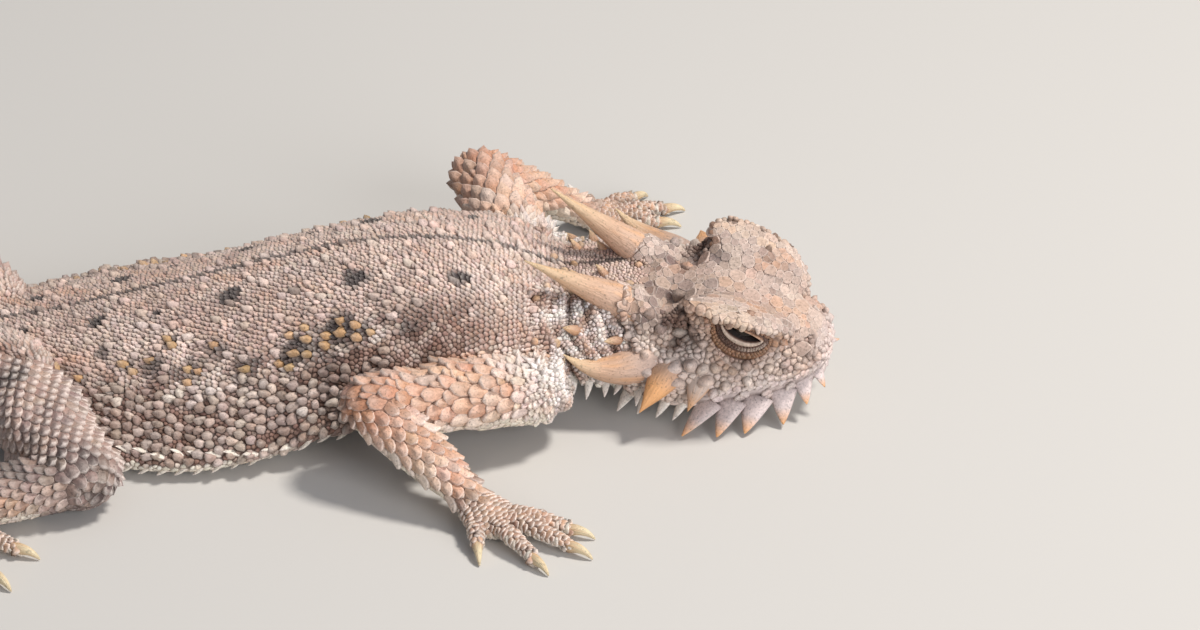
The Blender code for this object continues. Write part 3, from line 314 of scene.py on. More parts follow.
def body_rings(spread):
    """Rings of the one long form from the tip of the tail to the tip of the snout."""
    rings = [trunk_ring(station, spread) for station in tail_stations(np.linspace(TAIL_X[-1], TAIL_X[0], 70))]
    rings += [trunk_ring(s, spread) for s in trunk_stations(np.linspace(TRUNK_X[-1], TRUNK_X[0], 90))]
    start = rings[-1]
    end = head_to_body(head_ring(0.0, spread))
    for share in np.linspace(0, 1, 14)[1:-1]:
        ease = share * share * (3 - 2 * share)
        ring = start * (1 - ease) + end * ease
        ring[:, 0] = start[:, 0] * (1 - share) + end[:, 0] * share
        rings.append(ring)
    rings += [head_to_body(head_ring(x, spread)) for x in np.linspace(0.0, 15.55, 48)]
    last = head_ring(15.55, spread)
    centre = np.array([15.55, 0.0, 0.5 * (last[:, 2].max() + last[:, 2].min())])
    for forward, scale in ((0.18, 0.86), (0.3, 0.66), (0.36, 0.35)):
        ring = centre + (last - centre) * scale
        ring[:, 0] = 15.55 + forward
        rings.append(head_to_body(ring))
    return np.array(rings)


def ring_quads(count, sides):
    """The quads between each ring of points and the next, as indices."""
    ring = np.arange(count - 1)[:, None] * sides
    side = np.arange(sides)[None, :]
    after = (side + 1) % sides
    quads = np.stack([ring + side, ring + after, ring + sides + after, ring + sides + side], axis=2)
    return quads.reshape(-1, 4)


def loft(rings):
    """A closed mesh through rings of equally many points, as points and faces."""
    count, sides = len(rings), len(rings[0])
    points = np.concatenate(list(rings))
    faces = [tuple(face) for face in ring_quads(count, sides).tolist()]
    faces.append(tuple(range(sides - 1, -1, -1)))
    faces.append(tuple((count - 1) * sides + s for s in range(sides)))
    return points, faces


def bent_path(root, bend, tip, steps):
    root, bend, tip = (np.asarray(point, float) for point in (root, bend, tip))
    share = np.linspace(0, 1, steps)[:, None]
    return (1 - share) ** 2 * root + 2 * share * (1 - share) * bend + share ** 2 * tip


def tube_rings(path, half_widths, half_heights, sides, up=(0, 0, 1)):
    """Rings round a path, each starting at its top, with an elliptic section."""
    path = np.asarray(path, float)
    along = unit(np.gradient(path, axis=0))
    angle = np.linspace(0, 2 * math.pi, sides, endpoint=False)
    rings = []
    for point, forward, width, height in zip(path, along, half_widths, half_heights):
        side = unit(np.cross(np.asarray(up, float), forward))
        top = np.cross(forward, side)
        rings.append(point + np.outer(np.sin(angle) * width, side) + np.outer(np.cos(angle) * height, top))
    return np.array(rings)


def limb_rings(start, end, start_radius, end_radius, spread, sides=32):
    """One segment of a limb with rounded ends and a slight swell of muscle."""
    start, end = np.asarray(start, float), np.asarray(end, float)
    length = np.linalg.norm(end - start)
    direction = (end - start) / length
    places = [-start_radius * 0.75, -start_radius * 0.4, 0, 0.3 * length, 0.6 * length, 0.85 * length, length]
    places += [length + end_radius * 0.4, length + end_radius * 0.75]
    scales = [0.45, 0.85, 1, 1.12, 1.12, 1.0, 1, 0.85, 0.45]
    fine = np.linspace(places[0], places[-1], 40)
    radii = np.interp(fine, [0, length], [start_radius, end_radius])
    radii = radii * smooth_curve(places, scales, fine) + spread
    return tube_rings(start + np.outer(fine, direction), radii, radii * 0.85, sides)


def toe_rings(wrist, tip, radius, spread):
    wrist = np.asarray(wrist, float)
    tip = np.array([*tip, 0.35])
    reach = tip - wrist
    reach[2] = 0
    direction = unit(reach)
    start = np.array([wrist[0], wrist[1], 1.0]) + direction * 1.2
    claw_root = tip - direction * CLAW_LENGTH
    claw_root[2] = 0.62
    bend = (start + claw_root) / 2 + np.array([0, 0, 1.0])
    path = bent_path(start, bend, claw_root, 22)
    share = np.linspace(0, 1, 22)
    width = radius * np.interp(share, [0, 0.33, 0.67, 1], [1.15, 1.0, 0.95, 0.62])
    width = width * (1 + 0.06 * np.cos(share * math.pi * 7)) + spread
    return tube_rings(path, width, width * 0.92, 18), claw_root, direction, tip


def palm_points(wrist, tips, radius, spread):
    wrist = np.asarray(wrist, float)
    middle = np.array([*np.mean(np.array(tips), axis=0), 0.3])
    forward = unit(middle - wrist)
    centre = wrist + forward * 1.7 - np.array([0, 0, 0.35])
    side = unit(np.cross((0, 0, 1), forward))
    turn = np.column_stack([forward, side, np.cross(forward, side)])
    share = np.linspace(-0.97, 0.97, 18)
    size = np.sqrt(1 - share ** 2)
    half = np.array([2.7, 2.2, radius * 0.95]) + spread
    path = centre + np.outer(share * half[0], turn[:, 0])
    return tube_rings(path, size * half[1], size * half[2], 22, turn[:, 2])


def row_shift():
    """How far the row's frame lies from the body's, by the left eye."""
    low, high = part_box("eye_left")
    centre = (np.array(low) + np.array(high)) / 2 / MM
    return centre - head_to_body([mirrored(EYE_AT, "left")])[0]


def to_row(points, shift):
    return (np.asarray(points, float) + shift) * MM


def bulk_mesh(name, points, quads=None, triangles=None):
    """A mesh from arrays of points in the row's frame and of quads and triangles."""
    data = bpy.data.meshes.new(name)
    loops, totals = [], []
    for faces, size in ((quads, 4), (triangles, 3)):
        if faces is not None and len(faces):
            loops.append(np.asarray(faces, np.int32).ravel())
            totals.append(np.full(len(faces), size, np.int32))
    loops, totals = np.concatenate(loops), np.concatenate(totals)
    starts = np.concatenate([[0], np.cumsum(totals)[:-1]]).astype(np.int32)
    data.vertices.add(len(points))
    data.vertices.foreach_set("co", np.asarray(points, np.float32).ravel())
    data.loops.add(len(loops))
    data.loops.foreach_set("vertex_index", loops)
    data.polygons.add(len(totals))
    data.polygons.foreach_set("loop_start", starts)
    data.polygons.foreach_set("loop_total", totals)
    data.polygons.foreach_set("use_smooth", np.ones(len(totals), bool))
    data.update(calc_edges=True)
    return data


def set_point_colour(data, name, colours):
    layer = data.color_attributes.new(name, "FLOAT_COLOR", "POINT")
    filled = np.ones((len(colours), 4), np.float32)
    filled[:, :3] = colours
    layer.data.foreach_set("color", filled.ravel())


def set_point_vector(data, name, vectors):
    layer = data.attributes.new(name, "FLOAT_VECTOR", "POINT")
    layer.data.foreach_set("vector", np.asarray(vectors, np.float32).ravel())


def set_bake_map(data, places):
    """The map OFBake, from one place for each point."""
    loops = np.empty(len(data.loops), np.int32)
    data.loops.foreach_get("vertex_index", loops)
    layer = data.uv_layers.new(name="OFBake")
    layer.data.foreach_set("uv", np.asarray(places, np.float32)[loops].ravel())


def add_object(name, data, material):
    made = bpy.data.objects.new(name, data)
    bpy.context.scene.collection.objects.link(made)
    data.materials.append(material)
    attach(made, "root")
    return made


# The skin


def skin_parts():
    """The rings of every form under the skin, each by a name."""
    parts = {"body": body_rings(-SKIN_DEPTH)}
    for side in ("left", "right"):
        parts["brow_" + side] = brow_rings(side)
        parts["boss_" + side] = boss_rings(side)
        for kind, joints, radii, tips, toe in (
            ("arm", ARM_JOINTS[side], ARM_RADII, HAND_TIPS[side], TOE_RADIUS),
            ("leg", LEG_JOINTS[side], LEG_RADII, FOOT_TIPS[side], TOE_RADIUS * 1.05),
        ):
            root, middle, wrist = joints
            parts[kind + "_upper_" + side] = limb_rings(root, middle, radii[0], radii[1], -SKIN_DEPTH)
            parts[kind + "_lower_" + side] = limb_rings(middle, wrist, radii[2] * 0.98, radii[4], -SKIN_DEPTH)
            parts[kind + "_palm_" + side] = palm_points(wrist, tips, radii[5], -0.12)
            for index, tip in enumerate(tips):
                parts[f"{kind}_toe{index}_{side}"] = toe_rings(wrist, tip, toe, -0.1)[0]
    return parts


def brow_rings(side):
    """The shelf of bone that stands out over an eye, highest at its outer edge."""
    at, stations = np.linspace(0, 1, 24), [0, 0.25, 0.5, 0.75, 1.0]
    outer, inner = smooth_curve(stations, SHELF_EDGE, at), smooth_curve(stations, SHELF_ROOT, at)
    end = np.sqrt(np.clip(1 - (2 * at - 1) ** 8, 0.05, 1))[:, None]
    half = (outer - inner) / 2 * end
    middle = (outer + inner) / 2
    thickness = smooth_curve(stations, SHELF_THICKNESS, at)[:, None]
    top = unit(np.cross(np.gradient(middle, axis=0), half)) * thickness * end
    angle = np.linspace(0, 2 * math.pi, 28, endpoint=False)[:, None]
    rings = middle[:, None] + np.cos(angle) * half[:, None] + np.sin(angle) * top[:, None]
    if side == "right":
        rings = rings * [1, -1, 1]
    return head_to_body(rings.reshape(-1, 3)).reshape(rings.shape)


def boss_rings(side):
    """The raised scaly collar round the root of an occipital horn."""
    root, bend, tip, width, height = HORNS["horn_occipital"]
    path = bent_path(*[head_to_body([mirrored(point, side)])[0] for point in (root, bend, tip)], 26)[:8]
    size = np.array([1, 1, 1, 1, 1, 1, 0.97, 0.84])
    return tube_rings(path, size * (width / 2 + 0.14), size * (height / 2 + 0.14), 24, HEAD_TURN @ UPWARD)


def remeshed(parts):
    """One closed surface round all the parts, as points in millimetres, faces and normals."""
    points, faces, low = [], [], 0
    for rings in parts.values():
        part_points, part_faces = loft(rings)
        points.append(part_points)
        faces += [tuple(corner + low for corner in face) for face in part_faces]
        low += len(part_points)
    data = bpy.data.meshes.new("skin_forms")
    data.from_pydata(np.concatenate(points).tolist(), [], faces)
    item = bpy.data.objects.new("skin_forms", data)
    bpy.context.scene.collection.objects.link(item)
    voxel = item.modifiers.new("voxel", "REMESH")
    voxel.mode = "VOXEL"
    voxel.voxel_size = VOXEL
    smooth = item.modifiers.new("smooth", "SMOOTH")
    smooth.factor = 0.5
    smooth.iterations = 6
    graph = bpy.context.evaluated_depsgraph_get()
    result = bpy.data.meshes.new_from_object(item.evaluated_get(graph))
    bpy.data.objects.remove(item, do_unlink=True)
    skin_points = np.empty(len(result.vertices) * 3, np.float32)
    result.vertices.foreach_get("co", skin_points)
    quads = np.empty(len(result.loops), np.int32)
    result.loops.foreach_get("vertex_index", quads)
    bpy.data.meshes.remove(result)
    return skin_points.reshape(-1, 3).astype(float), quads.reshape(-1, 4)


def summed_normals(points, quads):
    """The unit normal at each point, from the quads round it."""
    corner = points[quads]
    face = np.cross(corner[:, 2] - corner[:, 0], corner[:, 3] - corner[:, 1])
    normals = np.zeros_like(points)
    for index in range(4):
        np.add.at(normals, quads[:, index], face)
    return unit(normals)


def normals_of(points, quads):
    """The normals of a closed surface, pointing outward."""
    normals = summed_normals(points, quads)
    high = np.argmax(points[:, 2])
    return normals if normals[high, 2] > 0 else -normals


def mouth_height(x):
    at, height = zip(*MOUTH_LINE)
    return np.interp(x, at, height)


def crease(distance, width):
    return np.exp(-(distance / width) ** 2)


def orbit_share(x, z):
    """0 at the middle of the slit between the lids, 1 at the rim of the orbit, in the head's frame."""
    across, up = x - SLIT_AT[0], z - SLIT_AT[1]
    slope = math.radians(SLIT_SLOPE)
    along = across * math.cos(slope) + up * math.sin(slope)
    rise = up * math.cos(slope) - across * math.sin(slope)
    reach = np.where(rise > 0, ORBIT_UP, ORBIT_DOWN)
    return np.hypot(along / ORBIT_LENGTH, rise / reach)


def under_shelf(x, z):
    """How far a place of the head is above the outer edge of the shelf over the eye."""
    edge_x, _, edge_z = np.array(SHELF_EDGE).T
    return z - np.interp(x, edge_x, edge_z)


def crown_line(x):
    """Height at which the flat plates of the crown give way to the beads of the side of the head."""
    return np.interp(x, [0, 3.8, 4.6, 9.0, 12.0, 14.0, 16.0], [7.4, 8.0, 9.6, 9.9, 8.7, 7.2, 5.6])


def notch_share(x, y, z):
    """1 in the middle of the deep hollow behind the eye, narrow above and wide below, and 0 outside it."""
    low = np.clip((10.3 - z) / 3.4, 0, 1)
    hollow = crease((x - 4.1 + 0.25 * low) / (0.6 + 1.3 * low), 1.0)
    return hollow * smoothstep(6.2, 7.6, z) * smoothstep(11.1, 10.3, z) * smoothstep(2.6, 3.8, y)


def carve_head(points, normals):
    """Mouth, nostrils, orbits, and the hollows behind and before each eye, pressed into the head's skin."""
    local = body_to_head(points)
    x, y, z = local[:, 0], np.abs(local[:, 1]), local[:, 2]
    on_head = (x > -0.5) & (x < 17) & (y < 12) & (z > -1.5)
    facing = normals @ HEAD_TURN
    sideways = np.abs(facing[:, 1]) + np.maximum(facing[:, 0], 0)
    on_side = smoothstep(0.25, 0.5, sideways)
    above_mouth = z - mouth_height(x)
    move = -0.7 * crease(above_mouth, 0.24) * smoothstep(6.2, 7.6, x) * on_side
    move += 0.14 * crease(above_mouth - 0.8, 0.5) * smoothstep(6.5, 8.5, x) * on_side
    nostril = nostril_distance(local)
    move += 0.25 * crease(nostril - 0.8, 0.35) - 0.8 * crease(nostril, 0.45)
    share = orbit_share(x, z)
    beside = (y > 3.2) * np.maximum(smoothstep(0.35, 0.05, facing[:, 2]), smoothstep(9.7, 9.0, z))
    move -= 1.6 * smoothstep(1.02, 0.72, share) * beside
    rim = crease(share - 1.2, 0.15) * smoothstep(9.6, 8.6, z) * (y > 3.2)
    rim = rim * smoothstep(0.3, 0.6, np.abs(facing[:, 1]))
    move += 0.2 * rim
    along_shelf = smoothstep(4.5, 5.3, x) * smoothstep(13.0, 12.0, x) * smoothstep(0.7, 0.3, facing[:, 2])
    outside_orbit = smoothstep(1.1, 1.4, share)
    move -= 0.7 * crease(under_shelf(x, z) + 0.95, 0.5) * smoothstep(3.4, 4.2, y) * along_shelf * outside_orbit
    move -= 2.0 * notch_share(x, y, z) * smoothstep(0.95, 0.7, facing[:, 2])
    before_eye = smoothstep(9.8, 11.2, x) * smoothstep(15.0, 14.0, x) * smoothstep(1.0, 2.0, y)
    move += 0.3 * crease(under_shelf(x, z) - 0.1, 0.4) * before_eye
    hollow = 0.75 * crease(under_shelf(x, z) + 1.25, 0.6) * before_eye
    move -= hollow * smoothstep(0.85, 0.6, facing[:, 2]) * outside_orbit
    for bump_x, bump_z, size, height in CHEEK_BUMPS:
        if height > 0.3:
            move += 0.3 * crease(np.hypot(x - bump_x, z - bump_z), size * 0.5) * (y > 3.5)
    points[on_head] += normals[on_head] * move[on_head, None]
    saddle = smoothstep(1.2, 2.6, x) * np.maximum(
        smoothstep(4.8, 3.9, x) * smoothstep(0.6, 2.4, y), 0.45 * smoothstep(6.5, 3.0, x)
    )
    drop = 1.3 * saddle * smoothstep(0.0, 0.45, facing[:, 2]) * smoothstep(6.4, 7.6, z) * (z < 10.9)
    points[on_head] -= drop[on_head, None] * (HEAD_TURN @ UPWARD)


def nostril_distance(local):
    folded = local.copy()
    folded[:, 1] = np.abs(folded[:, 1])
    return np.linalg.norm(folded - np.array(NOSTRIL_AT), axis=1)


def neck_folds(points):
    """The loose folds down each side of the neck: where they are, and their height from -1 to 1."""
    x, y, z = points.T
    mask = smoothstep(17.5, 20.5, x) * smoothstep(30.5, 27.5, x + 0.15 * (z - 5))
    mask = mask * smoothstep(3.0, 5.5, np.abs(y - 0.3)) * smoothstep(13.5, 11.5, np.abs(y))
    bent = x + 0.3 * z + 0.3 * np.sin(z * 0.9) + 0.2 * np.sin(z * 2.1 + x)
    return mask, 0.6 * np.sin(bent * 2 * math.pi / 1.35) + 0.4 * np.sin((x - 0.1 * z) * 2 * math.pi / 3.9 + 1.0)


def fold_neck(points, normals):
    mask, height = neck_folds(points)
    points += normals * (0.5 * mask * height)[:, None]


def ripple(points, normals):
    """Soft unevenness of the loose skin over the ribs and flanks."""
    x, y, z = points.T
    mask = smoothstep(-30, -22, x) * smoothstep(19, 12, x) * smoothstep(0.6, 2.0, z)
    mask = mask * smoothstep(5, 10, np.abs(y)) * smoothstep(18.5, 16.5, np.abs(y))
    move = 0.16 * np.sin(x * 1.7 + 0.5 * np.sin(z * 1.3)) + 0.1 * np.sin(x * 0.9 + z * 1.6 + 1.0)
    points += normals * (mask * move)[:, None]


class Skin:
    """The finished skin with what is needed to seat things on it."""

    def __init__(self):
        self.parts = skin_parts()
        self.points, self.quads = remeshed(self.parts)
        self.normals = normals_of(self.points, self.quads)
        carve_head(self.points, self.normals)
        fold_neck(self.points, self.normals)
        ripple(self.points, self.normals)
        self.points[:, 2] = np.maximum(self.points[:, 2], LOWEST)
        self.normals = normals_of(self.points, self.quads)
        self.tree = BVHTree.FromPolygons(self.points.tolist(), self.quads.tolist())

    def nearest(self, wanted, farthest):
        """For each wanted point the place on the skin, the normal there and whether it is near enough."""
        places, normals = np.zeros((2, len(wanted), 3))
        near = np.zeros(len(wanted), bool)
        for index, point in enumerate(wanted):
            place, _, face, distance = self.tree.find_nearest(Vector(point))
            places[index] = place
            normals[index] = self.normals[self.quads[face]].sum(axis=0)
            near[index] = distance < farthest
        return places, unit(normals), near

    def seat(self, centre, outward):
        outward = unit(outward)
        start = Vector(np.asarray(centre, float) + outward * 60)
        place, _, face, _ = self.tree.ray_cast(start, Vector(-outward))
        if place is None:
            return None
        return np.array(place), unit(self.normals[self.quads[face]].sum(axis=0))


# Markings


# Dark spots of the back and of the sides, the second kind on both sides: place and radius
BACK_SPOTS = [
    (-16.4, -3.4, 0.6), (-5.4, -4.1, 0.75), (5.1, -4.5, 0.75), (-11.4, -4.0, 0.35), (0.2, -4.6, 0.3),
    (13.6, -5.0, 0.65), (-15.0, 3.2, 0.6), (-4.2, 4.2, 0.7), (6.0, 4.8, 0.7), (-10.4, 3.8, 0.35),
    (14.2, 5.0, 0.6), (-22.8, -2.8, 0.5), (-22.2, 2.8, 0.5), (-28.5, -2.2, 0.5), (-28.2, 2.3, 0.5),
    (1.0, 4.4, 0.3), (-5.0, -3.3, 0.5), (4.6, -3.8, 0.45),
]
SIDE_SPOTS = [
    (-15.5, 7.5, 0.7), (-13.3, 8.9, 0.8), (-11.2, 9.4, 0.9), (-8.4, 10.2, 1.1), (-6.3, 8.7, 1.0),
    (-3.4, 10.7, 0.8), (0.3, 9.8, 1.4), (2.2, 9.0, 1.5), (4.2, 8.6, 1.3), (5.6, 9.3, 1.2),
    (9.6, 9.6, 0.7), (-19.0, 8.0, 0.7), (-10.0, 7.4, 0.6), (-17.2, 9.4, 0.7), (3.2, 10.2, 1.0),
]
# Dark spots of the crown, in the head's frame
CROWN_SPOTS = [(6.2, 1.8), (9.6, 3.0), (8.0, -2.2), (11.2, 0.6), (5.2, -3.4), (10.8, -4.2), (12.6, -3.0)]


def body_noise(points, scale, seed):
    """A soft uneven value from -1 to 1 that repeats nowhere on the body."""
    random = np.random.default_rng(seed)
    total = np.zeros(len(points))
    for octave in range(5):
        direction = unit(random.normal(size=3))
        other = unit(random.normal(size=3))
        size = scale * 0.72 ** octave
        phase = random.uniform(0, 6.28, 2)
        wave = 1.3 * np.sin(points @ other / size + phase[1])
        total += np.sin(points @ direction / size * 2 + phase[0] + wave)
    return total / 3.2


def mixed(colour, other, share):
    return colour * (1 - share[:, None]) + other * share[:, None]


def trunk_colour(points, normals):
    """Sandy back with a thin dark midline and dark spots, brown and cream flank, cream belly."""
    x, y, z = points.T
    coarse = body_noise(points, 5.0, 1)
    fine = body_noise(points, 1.3, 2)
    patchy = body_noise(points, 2.4, 12)
    colour = np.tile(linear("back"), (len(points), 1))
    colour = mixed(colour, linear("back_pale"), np.clip(0.3 + 0.45 * coarse, 0, 1))
    colour = mixed(colour, linear("back_grey"), np.clip(0.1 + 0.5 * fine, 0, 0.6))
    colour = mixed(colour, linear("back_rust"), np.clip(-0.15 + 0.6 * patchy, 0, 0.55))
    streaks = body_noise(points * [1.0, 0.3, 0.5], 0.8, 23)
    colour = mixed(colour, linear("back_grey"), np.clip(0.5 * streaks - 0.1, 0, 0.5))
    width = np.abs(y - np.interp(x, [-32, -8, 5, 21], [0.0, 0.3, 0.5, 0.0]))
    edge = smooth_curve(TRUNK_X, TRUNK_HALF_WIDTH, x)
    flank = smoothstep(0.52, 0.68, width / edge) * smoothstep(20, 12, x) * smoothstep(-30, -20, x)
    colour = mixed(colour, linear("flank_brown"), flank * np.clip(0.55 - 0.8 * fine, 0, 0.9))
    colour = mixed(colour, linear("flank_pale"), flank * np.clip(0.1 + 0.7 * fine, 0, 0.8))
    dark = np.zeros(len(points))
    for spot_x, spot_y, radius in BACK_SPOTS:
        distance = np.hypot((x - spot_x) * 0.8, y - spot_y) / radius
        dark = np.maximum(dark, smoothstep(1.3, 0.75, distance + 0.35 * fine))
    for spot_x, spot_y, radius in SIDE_SPOTS:
        for side in (-1, 1):
            distance = np.hypot(x - spot_x - (0.9 if side > 0 else 0), (y - side * spot_y) * 1.1) / radius
            spot = smoothstep(1.25, 0.7, distance + 0.5 * fine) * np.clip(0.75 - 0.4 * patchy, 0.2, 1)
            dark = np.maximum(dark, spot)
    dark = np.maximum(dark, 0.85 * smoothstep(0.34, 0.16, width) * (normals[:, 2] > 0.3) * (z > 3) * (x > -45))
    colour = mixed(colour, linear("spot"), dark)
    # Painted shade: the flank is browner towards the floor, under the overhang of the body.
    low = smoothstep(7.0, 2.0, z) * flank
    colour = mixed(colour, linear("flank_brown"), 0.5 * low)
    under = smoothstep(2.0, 0.8, z + 0.3 * fine) * smoothstep(0.45, -0.15, normals[:, 2])
    return mixed(colour, linear("belly"), 0.85 * under)


def neck_colour(points, normals):
    x, y, z = points.T
    fine = body_noise(points, 1.1, 3)
    colour = trunk_colour(points, normals)
    share = smoothstep(18.5, 21.5, x)
    side = smoothstep(3.0, 5.5, np.abs(y - 0.3))
    white = np.clip(0.85 + 0.8 * fine, 0, 1) * side
    blotch = np.clip(body_noise(points, 2.2, 4) * 1.6 - 0.15, 0, 1) * side
    neck = mixed(mixed(colour, linear("neck_white"), white), linear("neck_brown"), 0.8 * blotch)
    neck = mixed(neck, linear("throat"), smoothstep(4.4, 2.6, z))
    mask, height = neck_folds(points)
    # Painted shade in the troughs of the folds.
    neck = mixed(neck, linear("groove_shade"), 0.55 * mask * smoothstep(-0.1, -0.8, height))
    return colour * (1 - share[:, None]) + neck * share[:, None]


def head_colour(points, normals):
    local = body_to_head(points)
    x, y, z = local[:, 0], np.abs(local[:, 1]), local[:, 2]
    coarse, fine, patchy = body_noise(points, 3.0, 5), body_noise(points, 0.9, 6), body_noise(points, 1.8, 13)
    colour = np.tile(linear("head"), (len(points), 1))
    colour = mixed(colour, linear("head_pale"), np.clip(0.4 + 0.45 * coarse, 0, 0.9))
    colour = mixed(colour, linear("head_grey"), np.clip(0.05 + 0.6 * fine, 0, 0.6))
    colour = mixed(colour, linear("head_rust"), np.clip(-0.1 + 0.6 * patchy, 0, 0.6))
    beside = smoothstep(8.2, 6.6, z) * smoothstep(13.5, 11.0, x)
    colour = mixed(colour, linear("edge"), 0.5 * beside * np.clip(0.8 + 0.4 * fine, 0, 1))
    crown = smoothstep(7.0, 8.0, z) * smoothstep(2.6, 0.6, np.abs(x - 2.4))
    colour = mixed(colour, linear("crown_dark"), 0.75 * crown * np.clip(0.5 + 0.9 * fine, 0, 1))
    for spot_x, spot_y in CROWN_SPOTS:
        spot = smoothstep(0.8, 0.3, np.hypot(x - spot_x, local[:, 1] - spot_y)) * (z > 8)
        colour = mixed(colour, linear("crown_dark"), 0.5 * spot * np.clip(0.6 + 0.8 * fine, 0, 1))
    above = under_shelf(x, z)
    along_shelf = smoothstep(3.6, 4.4, x) * smoothstep(13.6, 12.6, x) * smoothstep(2.6, 3.6, y)
    # The underside of the shelf over the eye, where it faces down, takes the brow's orange-brown: partly its own
    # colour, partly painted shade under the overhang.
    downward = smoothstep(0.5, 0.1, (normals @ HEAD_TURN)[:, 2])
    colour = mixed(colour, linear("brow"), 0.85 * crease(above + 0.9, 0.75) * along_shelf * downward)
    colour = mixed(colour, linear("brow_edge"), 0.3 * crease(above - 0.05, 0.2) * along_shelf * (y > 4.0))
    around = crease(orbit_share(x, z) - 1.05, 0.12) * (y > 3.2) * (z < 9.6)
    colour = mixed(colour, linear("fold"), 0.5 * around)
    # Painted shade in the deep hollow behind the eye.
    colour = mixed(colour, linear("lid_brown"), 0.85 * notch_share(x, y, z))
    colour = mixed(colour, linear("lip"), 0.8 * smoothstep(5.4, 4.2, z) * smoothstep(5.0, 8.0, x))
    colour = mixed(colour, linear("lip"), 0.6 * smoothstep(14.6, 15.6, x))
    colour = mixed(colour, linear("throat"), smoothstep(2.9, 1.6, z))
    # Painted shade along the crease of the mouth.
    line = crease(z - mouth_height(x), 0.2) * smoothstep(6.0, 7.0, x) * (y > 0.2)
    colour = mixed(colour, linear("lid_brown"), 0.9 * line)
    # Painted shade in the nostrils.
    return mixed(colour, linear("hole_shade"), 0.95 * crease(nostril_distance(local), 0.36))


def limb_colour(points, normals):
    fine = body_noise(points, 1.2, 7)
    coarse = body_noise(points, 3.2, 8)
    colour = np.tile(linear("arm"), (len(points), 1))
    colour = mixed(colour, linear("back_pale"), np.clip(0.2 + 0.5 * coarse, 0, 0.8))
    colour = mixed(colour, linear("arm_red"), np.clip(-0.1 + 0.6 * fine, 0, 0.6))
    shoulder = smoothstep(0.34, 0.02, arm_share(points)) * np.clip(0.8 + 0.6 * fine, 0, 1)
    colour = mixed(colour, linear("neck_white"), shoulder)
    elbows = np.stack([np.linalg.norm(points - joints[1], axis=1) for joints in ARM_JOINTS.values()])
    colour = mixed(colour, linear("arm_red"), 0.6 * smoothstep(5.0, 2.4, elbows.min(axis=0) + fine))
    under = smoothstep(0.1, -0.5, normals[:, 2])
    return mixed(colour, linear("belly"), 0.85 * under)


def arm_share(points):
    """How far along its upper arm each point stands, from 0 at the shoulder to 1 at the elbow, and 1 for legs."""
    share = np.ones(len(points))
    for side, sign in (("left", 1), ("right", -1)):
        root, elbow = np.array(ARM_JOINTS[side][0]), np.array(ARM_JOINTS[side][1])
        here = (points[:, 1] * sign > 0) & (points[:, 0] > 0)
        share[here] = (points[here] - root) @ (elbow - root) / np.sum((elbow - root) ** 2)
    return share


def leg_colour(points, normals):
    colour = limb_colour(points, normals)
    x, y, z = points.T
    colour = mixed(colour, linear("back"), np.full(len(points), 0.6))
    colour = mixed(colour, linear("back_grey"), np.clip(0.75 + 0.4 * body_noise(points, 1.6, 17), 0, 1))
    outward = np.abs(y)
    fine = body_noise(points, 0.9, 9)
    band = smoothstep(2.2, 1.0, np.abs(outward - 22.6) + 0.6 * fine) * smoothstep(-24.5, -21.5, x)
    colour = mixed(colour, linear("spot"), 0.85 * band * np.clip(0.7 + 0.5 * fine, 0, 1))
    spot = smoothstep(1.4, 0.7, np.hypot(x + 22.5, outward - 11.9) + 0.3 * fine)
    return mixed(colour, linear("spot"), 0.85 * spot)


def hand_colour(points, normals):
    fine = body_noise(points, 0.8, 10)
    colour = np.tile(linear("hand"), (len(points), 1))
    colour = mixed(colour, linear("arm"), np.clip(0.3 + 0.6 * fine, 0, 0.8))
    return mixed(colour, linear("belly"), 0.8 * smoothstep(0.0, -0.5, normals[:, 2]))


COLOURS = {
    "trunk": trunk_colour, "neck": neck_colour, "head": head_colour, "arm": limb_colour, "leg": leg_colour,
    "hand": hand_colour,
}


def region_of(points):
    """The name of the region of each point, for its colours."""
    local = body_to_head(points)
    region = np.full(len(points), "trunk", dtype="<U6")
    region[points[:, 0] > 17.5] = "neck"
    beside_horn = (local[:, 0] > -1.7) & (np.hypot(np.abs(local[:, 1]) - 3.0, local[:, 2] - 7.9) < 2.1)
    region[((local[:, 0] > 0.0) & (np.abs(local[:, 1]) < 9)) | beside_horn] = "head"
    distances = {}
    for name, joints in (("arm", ARM_JOINTS), ("leg", LEG_JOINTS)):
        for side in ("left", "right"):
            root, middle, end = (np.array(joint) for joint in joints[side])
            radii = ARM_RADII if name == "arm" else LEG_RADII
            for start, stop, radius in ((root, middle, radii[0]), (middle, end, radii[3])):
                share = np.clip((points - start) @ (stop - start) / np.sum((stop - start) ** 2), 0, 1)
                gap = np.linalg.norm(points - start - share[:, None] * (stop - start), axis=1)
                inside_trunk = np.abs(points[:, 1]) < smooth_curve(TRUNK_X, TRUNK_HALF_WIDTH, points[:, 0]) * 0.8
                at_root = (share < 0.02) & (start is root)
                region[(gap < radius * 1.12) & ~(inside_trunk & (share < 0.3)) & ~at_root] = name
            distances[name, side] = np.linalg.norm(points[:, :2] - end[:2], axis=1)
            beyond = (points - end) @ unit(end - middle) > 0
            tips = np.array((HAND_TIPS if name == "arm" else FOOT_TIPS)[side])
            near_tips = np.linalg.norm(points[:, None, :2] - tips[None], axis=2).min(axis=1)
            foot = (distances[name, side] < 9) & (points[:, 2] < 3.2) & (beyond | (near_tips < 5))
            region[foot & (np.abs(points[:, 1]) > 14)] = "hand"
    return region


def skin_colour(points, normals):
    """The colour of the animal at each point, from the markings of its region."""
    region = region_of(points)
    colour = np.zeros((len(points), 3))
    for name in np.unique(region):
        chosen = region == name
        colour[chosen] = COLOURS[name](points[chosen], normals[chosen])
    return colour


# Scales


